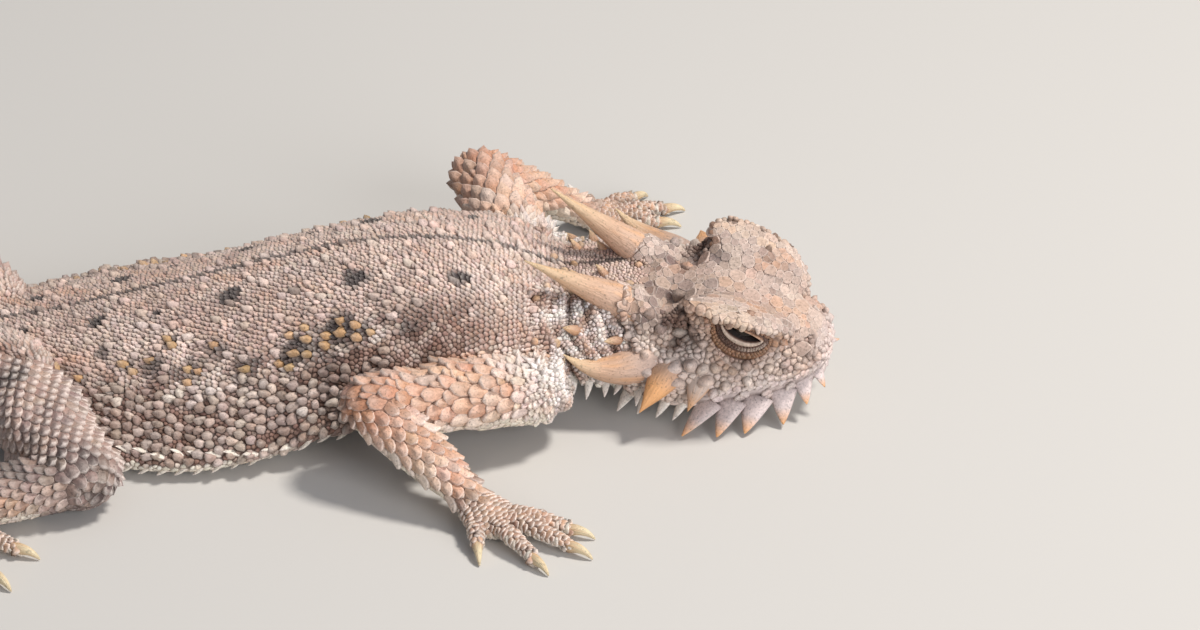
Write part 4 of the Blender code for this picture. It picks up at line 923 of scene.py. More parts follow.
class Seeds:
    """Where each scale stands, with its lie, size and form."""

    FORM = dict(
        size=0.8, dome=0.15, keel=0.0, tilt=0.1, over=0.1, edge=0.3,
        flat=0.0, fit=0.96, aspect=1.0, point=6.0, cone=0.0, ragged=0.05,
    )
    NO_TONE = ("edge", 0.0)

    def __init__(self):
        self.fields = list(self.FORM) + ["place", "normal", "lie", "colour", "map", "group"]
        self.rows = {field: [] for field in self.fields}
        self.taken = {}

    def near_taken(self, place, distance):
        cell = tuple(np.floor(place).astype(int))
        for dx in (-1, 0, 1):
            for dy in (-1, 0, 1):
                for dz in (-1, 0, 1):
                    for other, radius in self.taken.get((cell[0] + dx, cell[1] + dy, cell[2] + dz), ()):
                        if np.sum((other - place) ** 2) < (distance * 0.5 + radius * 0.5) ** 2:
                            return True
        return False

    def take(self, place, radius):
        cell = tuple(np.floor(place).astype(int))
        self.taken.setdefault(cell, []).append((place, radius))

    def put(self, places, normals, lies, colours, maps, kind, random):
        """Adds a scale at each place where its kind gives one and no other stands too near."""
        for place, normal, lie, colour, spot in zip(places, normals, lies, colours, maps):
            form = kind(place, normal, random)
            if form is None:
                continue
            form = {**self.FORM, **form}
            tone, share = form.pop("tone", self.NO_TONE)
            reach = form["size"] * (0.72 + 0.06 * form["flat"])
            if self.near_taken(place, reach):
                continue
            self.take(place, reach)
            play = 0.5 if form["group"].startswith("head") else 1.0
            tint = 1 + play * (random.uniform(-0.14, 0.12) + random.uniform(-0.05, 0.05, 3) * [1.0, 0.2, 1.0])
            colour = (colour * (1 - share) + linear(tone) * share) * tint
            row = dict(place=place, normal=normal, lie=lie, colour=colour, map=spot, **form)
            for field in self.fields:
                self.rows[field].append(row[field])

    def arrays(self):
        return {field: np.array(rows) for field, rows in self.rows.items()}


def lattice(rings, pitch, random, jitter, around=1.0):
    """Staggered rows of places on a tube: points, the way towards the first ring, and place along and around."""
    centres = rings.mean(axis=1)
    along = np.concatenate([[0], np.cumsum(np.linalg.norm(np.diff(centres, axis=0), axis=1))])
    points, ways, maps = [], [], []
    for row, distance in enumerate(np.arange(pitch * 0.4, along[-1], pitch * 0.86)):
        index = min(np.searchsorted(along, distance, side="right") - 1, len(rings) - 2)
        share = (distance - along[index]) / max(along[index + 1] - along[index], 1e-9)
        ring = rings[index] * (1 - share) + rings[index + 1] * share
        way = rings[index] - rings[index + 1]
        closed = np.concatenate([ring, ring[:1]])
        closed_way = np.concatenate([way, way[:1]])
        length = np.concatenate([[0], np.cumsum(np.linalg.norm(np.diff(closed, axis=0), axis=1))])
        count = max(5, int(round(length[-1] / pitch / around)))
        steps = np.arange(count) + 0.5 * (row % 2) + random.uniform(-jitter, jitter, count)
        steps = steps / count * length[-1] % length[-1]
        points.append(np.stack([np.interp(steps, length, closed[:, axis]) for axis in range(3)], axis=1))
        ways.append(np.stack([np.interp(steps, length, closed_way[:, axis]) for axis in range(3)], axis=1))
        maps.append(np.stack([np.full(count, distance / along[-1]), steps / length[-1]], axis=1))
    points, ways, maps = np.concatenate(points), unit(np.concatenate(ways)), np.concatenate(maps)
    points += random.uniform(-jitter, jitter, (len(points), 1)) * pitch * ways
    return points, ways, maps


# Each part has its own rectangle of the map: left, bottom, width and height
BODY_MAP = (0.01, 0.01, 0.98, 0.46)
LID_MAP = {"left": (0.8, 0.87, 0.09, 0.11), "right": (0.9, 0.87, 0.09, 0.11)}


def map_rectangle(name):
    """The rectangle of the map for a part."""
    if name == "body":
        return BODY_MAP
    order = []
    for kind in ("arm", "leg"):
        for side in ("left", "right"):
            order += [f"{kind}_upper_{side}", f"{kind}_lower_{side}", f"{kind}_palm_{side}"]
            order += [f"{kind}_toe{index}_{side}" for index in range(5)]
    index = order.index(name)
    return (0.01 + 0.122 * (index % 8), 0.48 + 0.095 * (index // 8), 0.115, 0.085)


def grow_tube(
    seeds, skin, name, pitch, random, kind, jitter=0.1, farthest=0.5, keep=None, reverse=False, around=1.0
):
    """Scales in rows on one part of the body. The kind gives each one's form from its place."""
    rings = skin.parts[name]
    if reverse:
        rings = rings[::-1]
    points, ways, maps = lattice(rings, pitch, random, jitter, around)
    places, normals, near = skin.nearest(points, farthest)
    if keep is not None:
        near &= keep(places, normals)
    left, bottom, width, height = map_rectangle(name)
    places, normals, ways, maps = places[near], normals[near], ways[near], maps[near]
    maps = np.array([left, bottom]) + maps * [width, height]
    seeds.put(places, normals, ways, skin_colour(places, normals), maps, kind, random)


def body_map(places):
    """Places on the map for things on trunk, neck and head, by where they stand along and across the body."""
    along = (places[:, 0] + 70) / 120
    across = 0.5 + 0.5 * np.tanh(places[:, 1] / 14)
    left, bottom, width, height = BODY_MAP
    return np.stack([left + width * np.clip(along, 0, 1), bottom + height * across], axis=1)


def grow_listed(seeds, found, lies, kind, random):
    """Scales at listed seats, each a place and a normal."""
    places, normals = np.array([seat[0] for seat in found]), np.array([seat[1] for seat in found])
    colours = skin_colour(places, normals)
    seeds.put(places, normals, np.asarray(lies), colours, body_map(places), kind, random)


def flank_share(place):
    return abs(place[1]) / float(np.interp(place[0], TRUNK_X[::-1], TRUNK_HALF_WIDTH[::-1]))


def trunk_group(place):
    return "trunk_front" if place[0] > 4 else "trunk_middle" if place[0] > -12 else "trunk_rear"


def large_trunk_kind(place, normal, random):
    """The scattered large keeled scales of the back, yellowish in the dark blotches of the sides."""
    in_blotch = any(math.hypot(place[0] - x, abs(place[1]) - y) < radius for x, y, radius in SIDE_SPOTS)
    if place[0] > 20.5 or normal[2] < 0.05 or flank_share(place) > 0.7:
        return None
    if random.uniform() < 0.62 and not in_blotch:
        return None
    form = dict(dome=0.24, keel=0.4, tilt=0.3, over=0.4, edge=0.5, fit=0.93, cone=0.5, point=3.0)
    tone = ("tubercle", 0.75) if in_blotch else ("back_pale", 0.3)
    return dict(size=random.uniform(0.75, 1.1), tone=tone, group=trunk_group(place), **form)


def flank_kind(place, normal, random):
    """Large pale cone-shaped scales in rows along the flank."""
    start = 0.68 + 0.1 * float(smoothstep(-2.0, 6.0, place[0])) + random.uniform(-0.03, 0.03)
    if flank_share(place) < start or normal[2] < -0.3 or place[2] < 1.5 or not -27 < place[0] < 8:
        return None
    tone = ("flank_pale", random.uniform(0.15, 0.4))
    form = dict(dome=0.36, keel=0.3, tilt=0.34, over=0.3, edge=0.5, fit=0.95, cone=0.6, point=2.5, ragged=0.22)
    return dict(size=random.uniform(0.85, 1.1), tone=tone, group=trunk_group(place), **form)


def trunk_kind(place, normal, random):
    """The fine keeled scales of the back, the dark granules of the flank and the smooth scales of the belly."""
    if normal[2] < -0.2:
        return dict(size=0.6, dome=0.06, tilt=0.05, over=0.2, edge=0.2, group="belly", fit=0.985)
    front = 1 - 0.3 * float(smoothstep(15.0, 22.0, place[0])) * float(smoothstep(2.5, 6.0, abs(place[1])))
    if flank_share(place) > 0.72 and -27 < place[0] < 14:
        low = place[2] < 1.5
        tone = ("belly", 0.7) if low else ("flank_brown", random.uniform(0.2, 0.6))
        form = dict(dome=0.12, tilt=0.14, over=0.3, edge=0.5 if low else 0.1, cone=0.3)
        return dict(size=random.uniform(0.34, 0.44), tone=tone, group="trunk_fine", **form)
    form = dict(dome=0.11, keel=0.16, tilt=0.26, over=0.6, edge=0.55, fit=0.96, cone=0.3, point=3.0)
    return dict(size=random.uniform(0.38, 0.52) * front, group="trunk_fine", **form)


def large_neck_kind(place, normal, random):
    if random.uniform() < 0.6 or normal[2] < -0.2:
        return None
    form = dict(dome=0.3, keel=0.1, tilt=0.12, over=0.15, edge=0.3, fit=0.96, cone=0.5, tone=("tubercle", 0.55))
    return dict(size=random.uniform(0.7, 1.0), group="neck", **form)


def neck_kind(place, normal, random):
    size = random.uniform(0.25, 0.34)
    return dict(size=size, dome=0.12, keel=0.0, tilt=0.04, over=0.05, edge=0.35, group="neck")


def free_of_features(local):
    """False in the line of the mouth, in the nostrils and between the lids."""
    x, y, z = local[0], abs(local[1]), local[2]
    if x > 6.6 and abs(z - mouth_height(x)) < 0.42:
        return False
    if nostril_distance(local[None])[0] < 0.62:
        return False
    return not (y > 3.2 and z < 10.35 and orbit_share(x, z) < 1.0)


def on_crown(local, facing):
    """True on the top of the head, where plates lie flat."""
    middle = abs(local[1]) < 2.6 and facing > 0.6
    return facing > 0.3 and (local[2] > crown_line(local[0]) or middle) and notch_share(*np.abs(local)) < 0.25


def crown_kind(place, normal, random):
    """Flat many-sided plates of the top of the head, close together."""
    local = body_to_head([place])[0]
    if not on_crown(local, (normal @ HEAD_TURN)[2]) or not free_of_features(local):
        return None
    size = random.choice([0.85, 1.05, 1.3, 1.5]) * random.uniform(0.9, 1.1)
    size *= 0.6 if local[0] < 1.5 or (local[0] < 5.2 and abs(local[1]) > 3.5) else 1
    return dict(size=size, dome=0.1, tilt=0.01, over=0.0, edge=0.28, flat=1.0, fit=1.0, group="head_top")


def cheek_kind(place, normal, random):
    """Large cone-shaped beads of the cheek and the side of the snout."""
    local = body_to_head([place])[0]
    x, y, z = local
    if not free_of_features(local) or abs((normal @ HEAD_TURN)[2]) > 0.85 or z < 4.4 or z > crown_line(x):
        return None
    if abs(z - mouth_height(x)) < 1.1 or notch_share(x, abs(y), z) > 0.35:
        return None
    size = random.uniform(1.0, 1.5) * (1.0 if x < 8.5 else 0.68)
    form = dict(dome=0.2 + 0.3 * size, keel=0.12, tilt=0.2, edge=0.4, fit=0.97, cone=0.6, ragged=0.12)
    return dict(size=size, group="head_side", **form)


def head_kind(place, normal, random):
    local = body_to_head([place])[0]
    if not free_of_features(local):
        return None
    x, z = local[0], local[2]
    facing = (normal @ HEAD_TURN)[2]
    if on_crown(local, facing):
        return dict(size=0.6, dome=0.08, tilt=0.02, over=0.0, edge=0.4, flat=1.0, fit=1.0, group="head_top")
    if facing < -0.5:
        return dict(size=0.66, dome=0.08, tilt=0.03, over=0.05, edge=0.2, group="head_side")
    if abs(z - mouth_height(x)) < 1.4 and x > 6:
        return lip_kind(place, normal, random)
    if notch_share(x, abs(local[1]), z) > 0.3:
        return dict(size=random.uniform(0.3, 0.4), dome=0.12, tilt=0.04, edge=0.1, group="head_side")
    form = dict(dome=0.22, tilt=0.08, over=0.1, edge=0.45, fit=0.98, cone=0.4, ragged=0.1)
    return dict(size=random.uniform(0.42, 0.72), group="head_side", **form)


def lip_kind(place, normal, random):
    """Small flat scales of the lips, each lying over the one behind it."""
    form = dict(dome=0.09, keel=0.08, tilt=0.12, over=0.5, edge=0.75, fit=0.98, aspect=0.9, point=3.0)
    return dict(size=random.uniform(0.44, 0.56), group="head_side", **form)


def brow_kind(place, normal, random):
    """The plates along the edge of the brow, each over the one behind it, uneven in size."""
    form = dict(dome=0.12, keel=0.08, tilt=0.06, over=0.1, edge=0.35, fit=0.99, point=2.0, cone=0.5)
    return dict(size=random.uniform(0.5, 0.75), group="head_top", **form)


def tail_kind(place, normal, random):
    size = random.uniform(0.75, 0.9)
    if normal[2] < -0.2:
        return dict(size=size, dome=0.08, tilt=0.05, over=0.15, edge=0.2, group="tail")
    return dict(size=size, dome=0.14, keel=0.26, tilt=0.26, over=0.4, edge=0.6, group="tail")


def limb_kind_for(group, size):
    def kind(place, normal, random):
        own = size * random.uniform(0.9, 1.1)
        if group == "arms":
            own *= 0.36 + 0.64 * float(smoothstep(-0.05, 0.45, arm_share(place[None])[0]))
        if normal[2] < -0.35:
            return dict(size=own * 0.8, dome=0.08, tilt=0.08, over=0.25, edge=0.4, group=group)
        form = dict(dome=0.04, keel=0.32, tilt=0.26, over=0.75, edge=0.6, fit=0.985)
        return dict(size=own, aspect=0.95, point=2.4, cone=0.5, group=group, **form)
    return kind


def toe_kind(place, normal, random):
    form = dict(dome=0.05, keel=0.06, tilt=0.14, over=0.45, edge=0.8, fit=0.97, ragged=0.02)
    return dict(size=0.46 * random.uniform(0.94, 1.06), aspect=1.7, point=1.6, group="hands", **form)


def bead_kind_for(size, height):
    def kind(place, normal, random):
        form = dict(dome=height * 1.5, keel=0.14, tilt=0.14, edge=0.4, fit=0.96, cone=0.6)
        return dict(size=size, group="head_side", **form)
    return kind


def head_seat(skin, place, aim):
    """The seat on the head's skin, seen along an aim from a place on its middle, both in the head's frame."""
    return skin.seat(head_to_body([place])[0], HEAD_TURN @ np.array(aim))


def head_rows(skin):
    """Seats of the scales along the lips, the beads of the cheeks and the plates along the brow."""
    lips, beads, plates = [], [], []
    rearward = HEAD_TURN @ BACKWARD
    for side in (1, -1):
        for rise in (0.6, -0.6):
            for x in np.arange(6.9, 13.6, 0.56):
                lips.append((head_seat(skin, (x, 0, mouth_height(x) + rise), (0, side, 0)), rearward))
            for turn in np.radians(np.arange(8, 80, 12)):
                aim = (math.cos(turn), side * math.sin(turn), 0)
                lips.append((head_seat(skin, (12.6, 0, mouth_height(14.5) + rise), aim), rearward))
        for x, z, size, height in CHEEK_BUMPS:
            beads.append((head_seat(skin, (x, 0, z), (0, side, 0)), (size, height)))
        for share in np.arange(0.02, 0.88, 0.052):
            edge = smooth_curve([0, 0.25, 0.5, 0.75, 1.0], SHELF_EDGE, [share])[0] + [0, 0.25, 0.3]
            place, normal, _ = skin.nearest(head_to_body([edge * [1, side, 1]]), 3)
            plates.append(((place[0], normal[0]), HEAD_TURN @ np.array([-1.0, side * 0.3, 0.15])))
    return lips, beads, plates


def all_seeds(skin, roots, lids):
    """Every scale of the body. The roots of horns and spines are kept free."""
    random = np.random.default_rng(5)
    seeds = Seeds()
    for place, radius in roots:
        seeds.take(np.asarray(place, float), radius)

    def on_trunk(places, normals):
        return (places[:, 0] > -33.0) & (places[:, 0] < 22.0)

    def on_tail(places, normals):
        return (places[:, 0] <= -33.0) & (places[:, 0] > TAIL_X[-1] + 0.7)

    def on_neck(places, normals):
        return (places[:, 0] >= 19.5) & (body_to_head(places)[:, 0] < 0.4)

    def on_head(places, normals):
        return body_to_head(places)[:, 0] >= 0.0

    def on_limb(places, normals):
        region = region_of(places)
        return (region == "arm") | (region == "leg")

    lips, beads, plates = head_rows(skin)
    grow_listed(seeds, [row[0] for row in plates], [row[1] for row in plates], brow_kind, random)
    for seat, (size, height) in beads:
        lie = HEAD_TURN @ np.array([-1.0, 0, -0.3])
        grow_listed(seeds, [seat], [lie], bead_kind_for(size, height), random)
    grow_listed(seeds, [row[0] for row in lips], [row[1] for row in lips], lip_kind, random)
    for side in ("left", "right"):
        for kind, big, small in (("arm", 1.4, 1.1), ("leg", 1.0, 0.9)):
            upper = limb_kind_for(kind + "s", big)
            lower = limb_kind_for(kind + "s", small)
            grow_tube(seeds, skin, f"{kind}_upper_{side}", big, random, upper, 0.06, 0.3, on_limb, True)
            grow_tube(seeds, skin, f"{kind}_lower_{side}", small, random, lower, 0.06, 0.3, reverse=True)
            grow_tube(seeds, skin, f"{kind}_palm_{side}", 0.5, random, toe_kind, 0.05, 0.3, None, True, 1.5)
            for index in range(5):
                name = f"{kind}_toe{index}_{side}"
                grow_tube(seeds, skin, name, 0.47, random, toe_kind, 0.01, 0.25, None, True, 1.7)
    grow_tube(seeds, skin, "body", 1.75, random, crown_kind, 0.35, 0.9, on_head)
    grow_tube(seeds, skin, "body", 0.95, random, crown_kind, 0.3, 0.9, on_head)
    grow_tube(seeds, skin, "body", 1.25, random, cheek_kind, 0.4, 0.9, on_head)
    grow_tube(seeds, skin, "body", 0.55, random, head_kind, 0.22, 0.9, on_head)
    grow_tube(seeds, skin, "body", 2.0, random, large_neck_kind, 0.3, 0.8, on_neck)
    grow_tube(seeds, skin, "body", 1.5, random, large_trunk_kind, 0.3, 0.7, on_trunk)
    grow_tube(seeds, skin, "body", 0.98, random, flank_kind, 0.16, 0.7, on_trunk)
    grow_tube(seeds, skin, "body", 0.44, random, trunk_kind, 0.2, 0.7, on_trunk)
    grow_tube(seeds, skin, "body", 0.31, random, neck_kind, 0.3, 0.9, on_neck)
    grow_tube(seeds, skin, "body", 0.82, random, tail_kind, 0.05, 0.5, on_tail)
    fill_gaps(seeds, skin, random)
    for side, patch in lids.items():
        patch.grow(seeds, LID_MAP[side], random)
    return seeds.arrays()


def bone_ways(places):
    """For each place the way along the nearest bone of a limb, towards the toes."""
    best, ways = np.full(len(places), np.inf), np.tile(BACKWARD, (len(places), 1))
    for joints in (ARM_JOINTS, LEG_JOINTS):
        for side in ("left", "right"):
            for start, end in zip(joints[side][:-1], joints[side][1:]):
                start, end = np.array(start), np.array(end)
                share = np.clip((places - start) @ (end - start) / np.sum((end - start) ** 2), 0, 1)
                gap = np.linalg.norm(places - start - share[:, None] * (end - start), axis=1)
                nearer = gap < np.minimum(best, 5.0)
                best[nearer] = gap[nearer]
                ways[nearer] = unit(end - start)
    return ways


def fill_gaps(seeds, skin, random):
    """Scales wherever the rows left skin bare, as at the joints of the limbs and on the palms."""
    picks = random.permutation(len(skin.points))[:90000]
    places, normals = skin.points[picks], skin.normals[picks]
    region = region_of(places)
    ways = bone_ways(places)
    kinds = {
        "trunk": trunk_kind, "neck": neck_kind, "head": head_kind, "arm": limb_kind_for("arms", 0.85),
        "leg": limb_kind_for("legs", 0.85), "hand": toe_kind,
    }
    for name, kind in kinds.items():
        chosen = (region == name) & (places[:, 2] > 0.15) & (places[:, 0] > TAIL_X[-1] + 0.7)
        lies = ways[chosen] if name in ("arm", "leg", "hand") else np.tile(BACKWARD, (chosen.sum(), 1))
        colours = COLOURS[name](places[chosen], normals[chosen])
        seeds.put(places[chosen], normals[chosen], lies, colours, body_map(places[chosen]), kind, random)


def both_bends(first, second, rise, usable):
    """How the surface falls away along and across each scale, by least squares over its neighbours."""
    along, across = np.where(usable, first ** 2 / 2, 0), np.where(usable, second ** 2 / 2, 0)
    own = (along ** 2).sum(axis=1) + 0.002
    other = (across ** 2).sum(axis=1) + 0.002
    cross = (along * across).sum(axis=1)
    first_rise, second_rise = (along * rise).sum(axis=1), (across * rise).sum(axis=1)
    whole = own * other - cross ** 2
    lengthwise = (first_rise * other - second_rise * cross) / whole
    sideways = (second_rise * own - first_rise * cross) / whole
    return np.clip([lengthwise, sideways], -1.5, 0.1)


def cell_reach(seeds, chosen, rays):
    """How far each chosen scale reaches along each ray of its plane, half way to its neighbours, and its bend."""
    count, close = len(seeds["size"]), 13
    tree = KDTree(count)
    for index, place in enumerate(seeds["place"]):
        tree.insert(place, index)
    tree.balance()
    places, normals = seeds["place"][chosen], seeds["normal"][chosen]
    lie = unit(seeds["lie"][chosen] - normals * np.sum(seeds["lie"][chosen] * normals, axis=1, keepdims=True))
    side = np.cross(normals, lie)
    neighbours = np.array([[found[1] for found in tree.find_n(place, close + 1)][1:] for place in places])
    offset = seeds["place"][neighbours] - places[:, None]
    aspect = seeds["aspect"][chosen]
    first = np.einsum("ijk,ik->ij", offset, lie)
    second = np.einsum("ijk,ik->ij", offset, side) / aspect[:, None]
    rise = np.einsum("ijk,ik->ij", offset, normals)
    distance = np.maximum(np.hypot(first, second), 1e-3)
    facing = np.einsum("ijk,ik->ij", seeds["normal"][neighbours], normals)
    size = seeds["size"][chosen]
    share = size[:, None] / (size[:, None] + seeds["size"][neighbours])
    half = distance * share
    usable = (facing > 0.0) & (np.abs(rise) < distance * 1.5)
    bend = both_bends(first, second * aspect[:, None], rise, usable)
    angle = np.linspace(0, 2 * math.pi, rays, endpoint=False)
    towards = np.arctan2(second, first)
    toward = np.cos(angle[None, :, None] - towards[:, None, :])
    strength = np.where((toward > 0.05) & usable[:, None, :], toward / half[:, None, :], 0)
    cap = 1.0 / (size * (0.85 + 0.45 * seeds["flat"][chosen]))
    power = 8 + 8 * seeds["flat"][chosen][:, None]
    total = np.sum(strength ** power[:, None], axis=2) + cap[:, None] ** power
    return total ** (-1 / power), angle, lie, side, bend


# Share of the reach and of the height at each ring of a scale, from its foot to near its top
ROUND_PROFILE = [(0.97, -1.0), (1.0, 0.0), (0.86, 0.62), (0.48, 0.93)]
FLAT_PROFILE = [(1.0, -1.0), (1.0, 0.75), (0.94, 1.0), (0.82, 0.82)]
SMALL_PROFILE = [(0.97, -1.0), (1.0, 0.0), (0.68, 0.8)]


def ring_height(own_of, along, across, rise, index, bend):
    """How high one ring of each scale stands: dome, keel, raised rear, and the skin's own bend."""
    width = np.maximum(own_of["size"], 0.3)[:, None]
    keel = own_of["keel"][:, None] * np.maximum(1 - np.abs(across) / (0.22 * width), 0)
    keel = keel * np.clip(0.55 + 0.6 * along / width, 0, 1.2)
    height = own_of["dome"][:, None] * np.maximum(rise, 0) + keel * (0.45 if index == 1 else 1.0)
    height = height + 0.05 - 0.04 * own_of["flat"][:, None]
    height = height + own_of["tilt"][:, None] * np.clip(0.25 + along / width, 0, 1.4)
    if index == 0:
        height = np.full_like(height, -0.3)
    return height + 0.5 * (bend[0][:, None] * along ** 2 + bend[1][:, None] * across ** 2)


def ring_colour(own_of, rear, index, rays):
    """The colour round one ring of each scale: darkened at its foot as painted shade in the crevice round it, and
    pale at its edge.
    """
    flat_share = own_of["flat"][:, None]
    colour = np.repeat(own_of["colour"][:, None], rays, axis=1)
    groove_shade, pale_edge = linear("groove_shade"), linear("edge")
    # Painted shade: the foot below the skin is darkened, except under flat plates, whose seams stay pale.
    if index == 0:
        seam = flat_share[..., None]
        return (colour * 0.35 + groove_shade * 0.3) * (1 - seam) + (colour * 0.7 + pale_edge * 0.15) * seam
    # Painted shade: domed cone scales are darker at their foot, in the gaps between them.
    if index == 1:
        colour = colour * (1 - 0.5 * own_of["cone"] * (own_of["dome"] > 0.2))[:, None, None]
    rounded = (0.35 + 0.65 * rear) if index == 1 else 0.3 * rear
    plate = 0.8 if index < 3 else 0.0
    pale = own_of["edge"][:, None] * (rounded * (1 - flat_share) + plate * flat_share)
    return colour * (1 - pale[..., None]) + pale_edge * pale[..., None]


def scale_pieces(seeds, chosen, rays, profile):
    """Points, quads, triangles and colours of scales, each a closed plate with a dome, keel and raised rear."""
    reach, angle, lie, side, bend = cell_reach(seeds, chosen, rays)
    count = len(chosen)
    own_of = {field: seeds[field][chosen] for field in seeds}
    cosine, sine = np.cos(angle), np.sin(angle)
    rear = np.maximum(cosine, 0)[None] ** own_of["point"][:, None]
    random = np.random.default_rng(9)
    uneven = sum(np.cos(turn * angle + random.uniform(0, 6.28, (count, 1))) / turn for turn in (2, 3, 5))
    reach = reach * own_of["fit"][:, None] * (1 + own_of["over"][:, None] * rear)
    reach = reach * (1 + own_of["ragged"][:, None] * uneven)
    width = np.maximum(own_of["size"], 0.3)[:, None]
    flat_share = own_of["flat"][:, None]
    points, colours, grains = [], [], []
    own = random.uniform(0, 50, count)
    for index, (share, rise) in enumerate(profile):
        plate_share, plate_rise = FLAT_PROFILE[min(index, len(FLAT_PROFILE) - 1)]
        share = share * (1 - flat_share) + plate_share * flat_share
        rise = rise * (1 - flat_share) + plate_rise * flat_share
        cone = own_of["cone"][:, None] * (index > 0)
        rise = rise * (1 - cone) + (1 - share) * cone
        flat = reach * share
        along, across = flat * cosine, flat * sine * own_of["aspect"][:, None]
        height = ring_height(own_of, along, across, rise, index, bend)
        points.append(
            own_of["place"][:, None]
            + along[..., None] * lie[:, None]
            + across[..., None] * side[:, None]
            + height[..., None] * own_of["normal"][:, None]
        )
        colours.append(ring_colour(own_of, rear, index, rays))
        grains.append(np.stack([along, across * 2.5, np.repeat(own[:, None], rays, axis=1)], axis=2))
    points = np.stack(points, axis=1)
    colours = np.stack(colours, axis=1)
    grains = np.stack(grains, axis=1)
    top = own_of["dome"] * (1 - 0.1 * own_of["flat"]) + own_of["keel"] * 0.6 + 0.05 + own_of["tilt"] * 0.25
    apex = own_of["place"] + own_of["normal"] * top[:, None]
    rings = len(profile)
    verts = np.concatenate([points.reshape(count, rings * rays, 3), apex[:, None]], axis=1)
    tints = np.concatenate([colours.reshape(count, rings * rays, 3), (own_of["colour"] * 0.97)[:, None]], axis=1)
    apex_grain = np.stack([np.zeros(count), np.zeros(count), own], axis=1)
    grains = np.concatenate([grains.reshape(count, rings * rays, 3), apex_grain[:, None]], axis=1)
    ray = np.arange(rays)
    after = (ray + 1) % rays
    quads = ring_quads(rings, rays)
    cap = np.stack([(rings - 1) * rays + ray, (rings - 1) * rays + after, np.full(rays, rings * rays)], axis=1)
    floor = np.stack([np.zeros(rays - 2, int), ray[2:], ray[1:-1]], axis=1)
    local = verts - own_of["place"][:, None]
    patch = np.stack([np.einsum("ijk,ik->ij", local, lie), np.einsum("ijk,ik->ij", local, side)], axis=2)
    patch = np.clip(patch / width[:, :, None], -1.1, 1.1) * 0.00135
    return verts, quads, np.concatenate([cap, floor]), tints, grains, own_of["map"][:, None] + patch


# Rays and profile of the scales of each group, and the slot of its node
GROUPS = {
    "belly": (8, SMALL_PROFILE, "trunk_skin"),
    "trunk_front": (10, ROUND_PROFILE, "trunk_skin"),
    "trunk_middle": (10, ROUND_PROFILE, "trunk_skin"),
    "trunk_rear": (10, ROUND_PROFILE, "trunk_skin"),
    "trunk_fine": (8, SMALL_PROFILE, "trunk_skin"),
    "tail": (10, ROUND_PROFILE, "trunk_skin"),
    "neck": (8, SMALL_PROFILE, "neck_skin"),
    "head_top": (18, ROUND_PROFILE, "head_skin"),
    "head_side": (12, ROUND_PROFILE, "head_skin"),
    "lids": (8, SMALL_PROFILE, "head_skin"),
    "arms": (12, ROUND_PROFILE, "limb_skin"),
    "legs": (12, ROUND_PROFILE, "limb_skin"),
    "hands": (10, SMALL_PROFILE, "limb_skin"),
}
MOST_TRIANGLES = 190000


def build_scales(seeds, material, shift):
    """One piece for each group of scales, split where it would be too large."""
    for group, (rays, profile, slot) in GROUPS.items():
        chosen = np.nonzero(seeds["group"] == group)[0]
        verts, quads, triangles, tints, grains, maps = scale_pieces(seeds, chosen, rays, profile)
        verts[..., 0] = np.maximum(verts[..., 0], TAIL_X[-1])
        verts[..., 2] = np.maximum(verts[..., 2], LOWEST)
        size = verts.shape[1]
        most = MOST_TRIANGLES // (2 * len(quads) + len(triangles))
        pieces = max(1, math.ceil(len(chosen) / most))
        for index, part in enumerate(np.array_split(np.arange(len(chosen)), pieces)):
            low = (np.arange(len(part)) * size)[:, None, None]
            name = f"scales_{group}_{index}" if pieces > 1 else f"scales_{group}"
            data = bulk_mesh(
                name, to_row(verts[part].reshape(-1, 3), shift),
                (quads[None] + low).reshape(-1, 4), (triangles[None] + low).reshape(-1, 3),
            )
            set_point_colour(data, "tone", tints[part].reshape(-1, 3))
            set_point_vector(data, "grain", grains[part].reshape(-1, 3))
            set_bake_map(data, maps[part].reshape(-1, 2))
            add_object(name, data, material)


# Lids


# Share from the slit to the rim, how far it stands out from the lid, and its colour
# The hole rings are painted shade: dark where the lid margin turns into the slit, and in the groove behind the
# margin.
LID_RINGS = [
    (-0.06, -0.5, "hole_shade"), (-0.02, -0.32, "hole_shade"), (0.0, -0.12, "hole_shade"), (0.02, 0.0, "lid_brown"),
    (0.05, 0.1, "lid"), (0.1, 0.16, "lid"), (0.15, 0.17, "lid"), (0.2, 0.12, "lid"),
    (0.235, 0.02, "fold"), (0.26, -0.12, "hole_shade"), (0.31, -0.03, "lid_brown"), (0.38, 0.04, "lid_brown"),
    (0.46, 0.05, "lid_brown"), (0.53, -0.02, "lid_brown"), (0.56, -0.12, "lid_brown"),
    (0.6, -0.02, "lid_brown"), (0.66, 0.08, "fold"), (0.72, 0.09, "fold"), (0.78, 0.0, "fold"),
    (0.82, -0.08, "lid_brown"), (0.87, 0.02, "head"), (0.94, 0.05, "head"), (1.0, -0.03, "head"),
    (1.06, -0.35, "head"),
]
LID_STEPS = 120
# Share from the slit to the rim of each row of grains, and how far apart they stand
LID_GRAINS = [
    (0.31, 0.17), (0.38, 0.18), (0.46, 0.19), (0.53, 0.17), (0.66, 0.22), (0.72, 0.24), (0.87, 0.32),
    (0.94, 0.38), (1.0, 0.44),
]


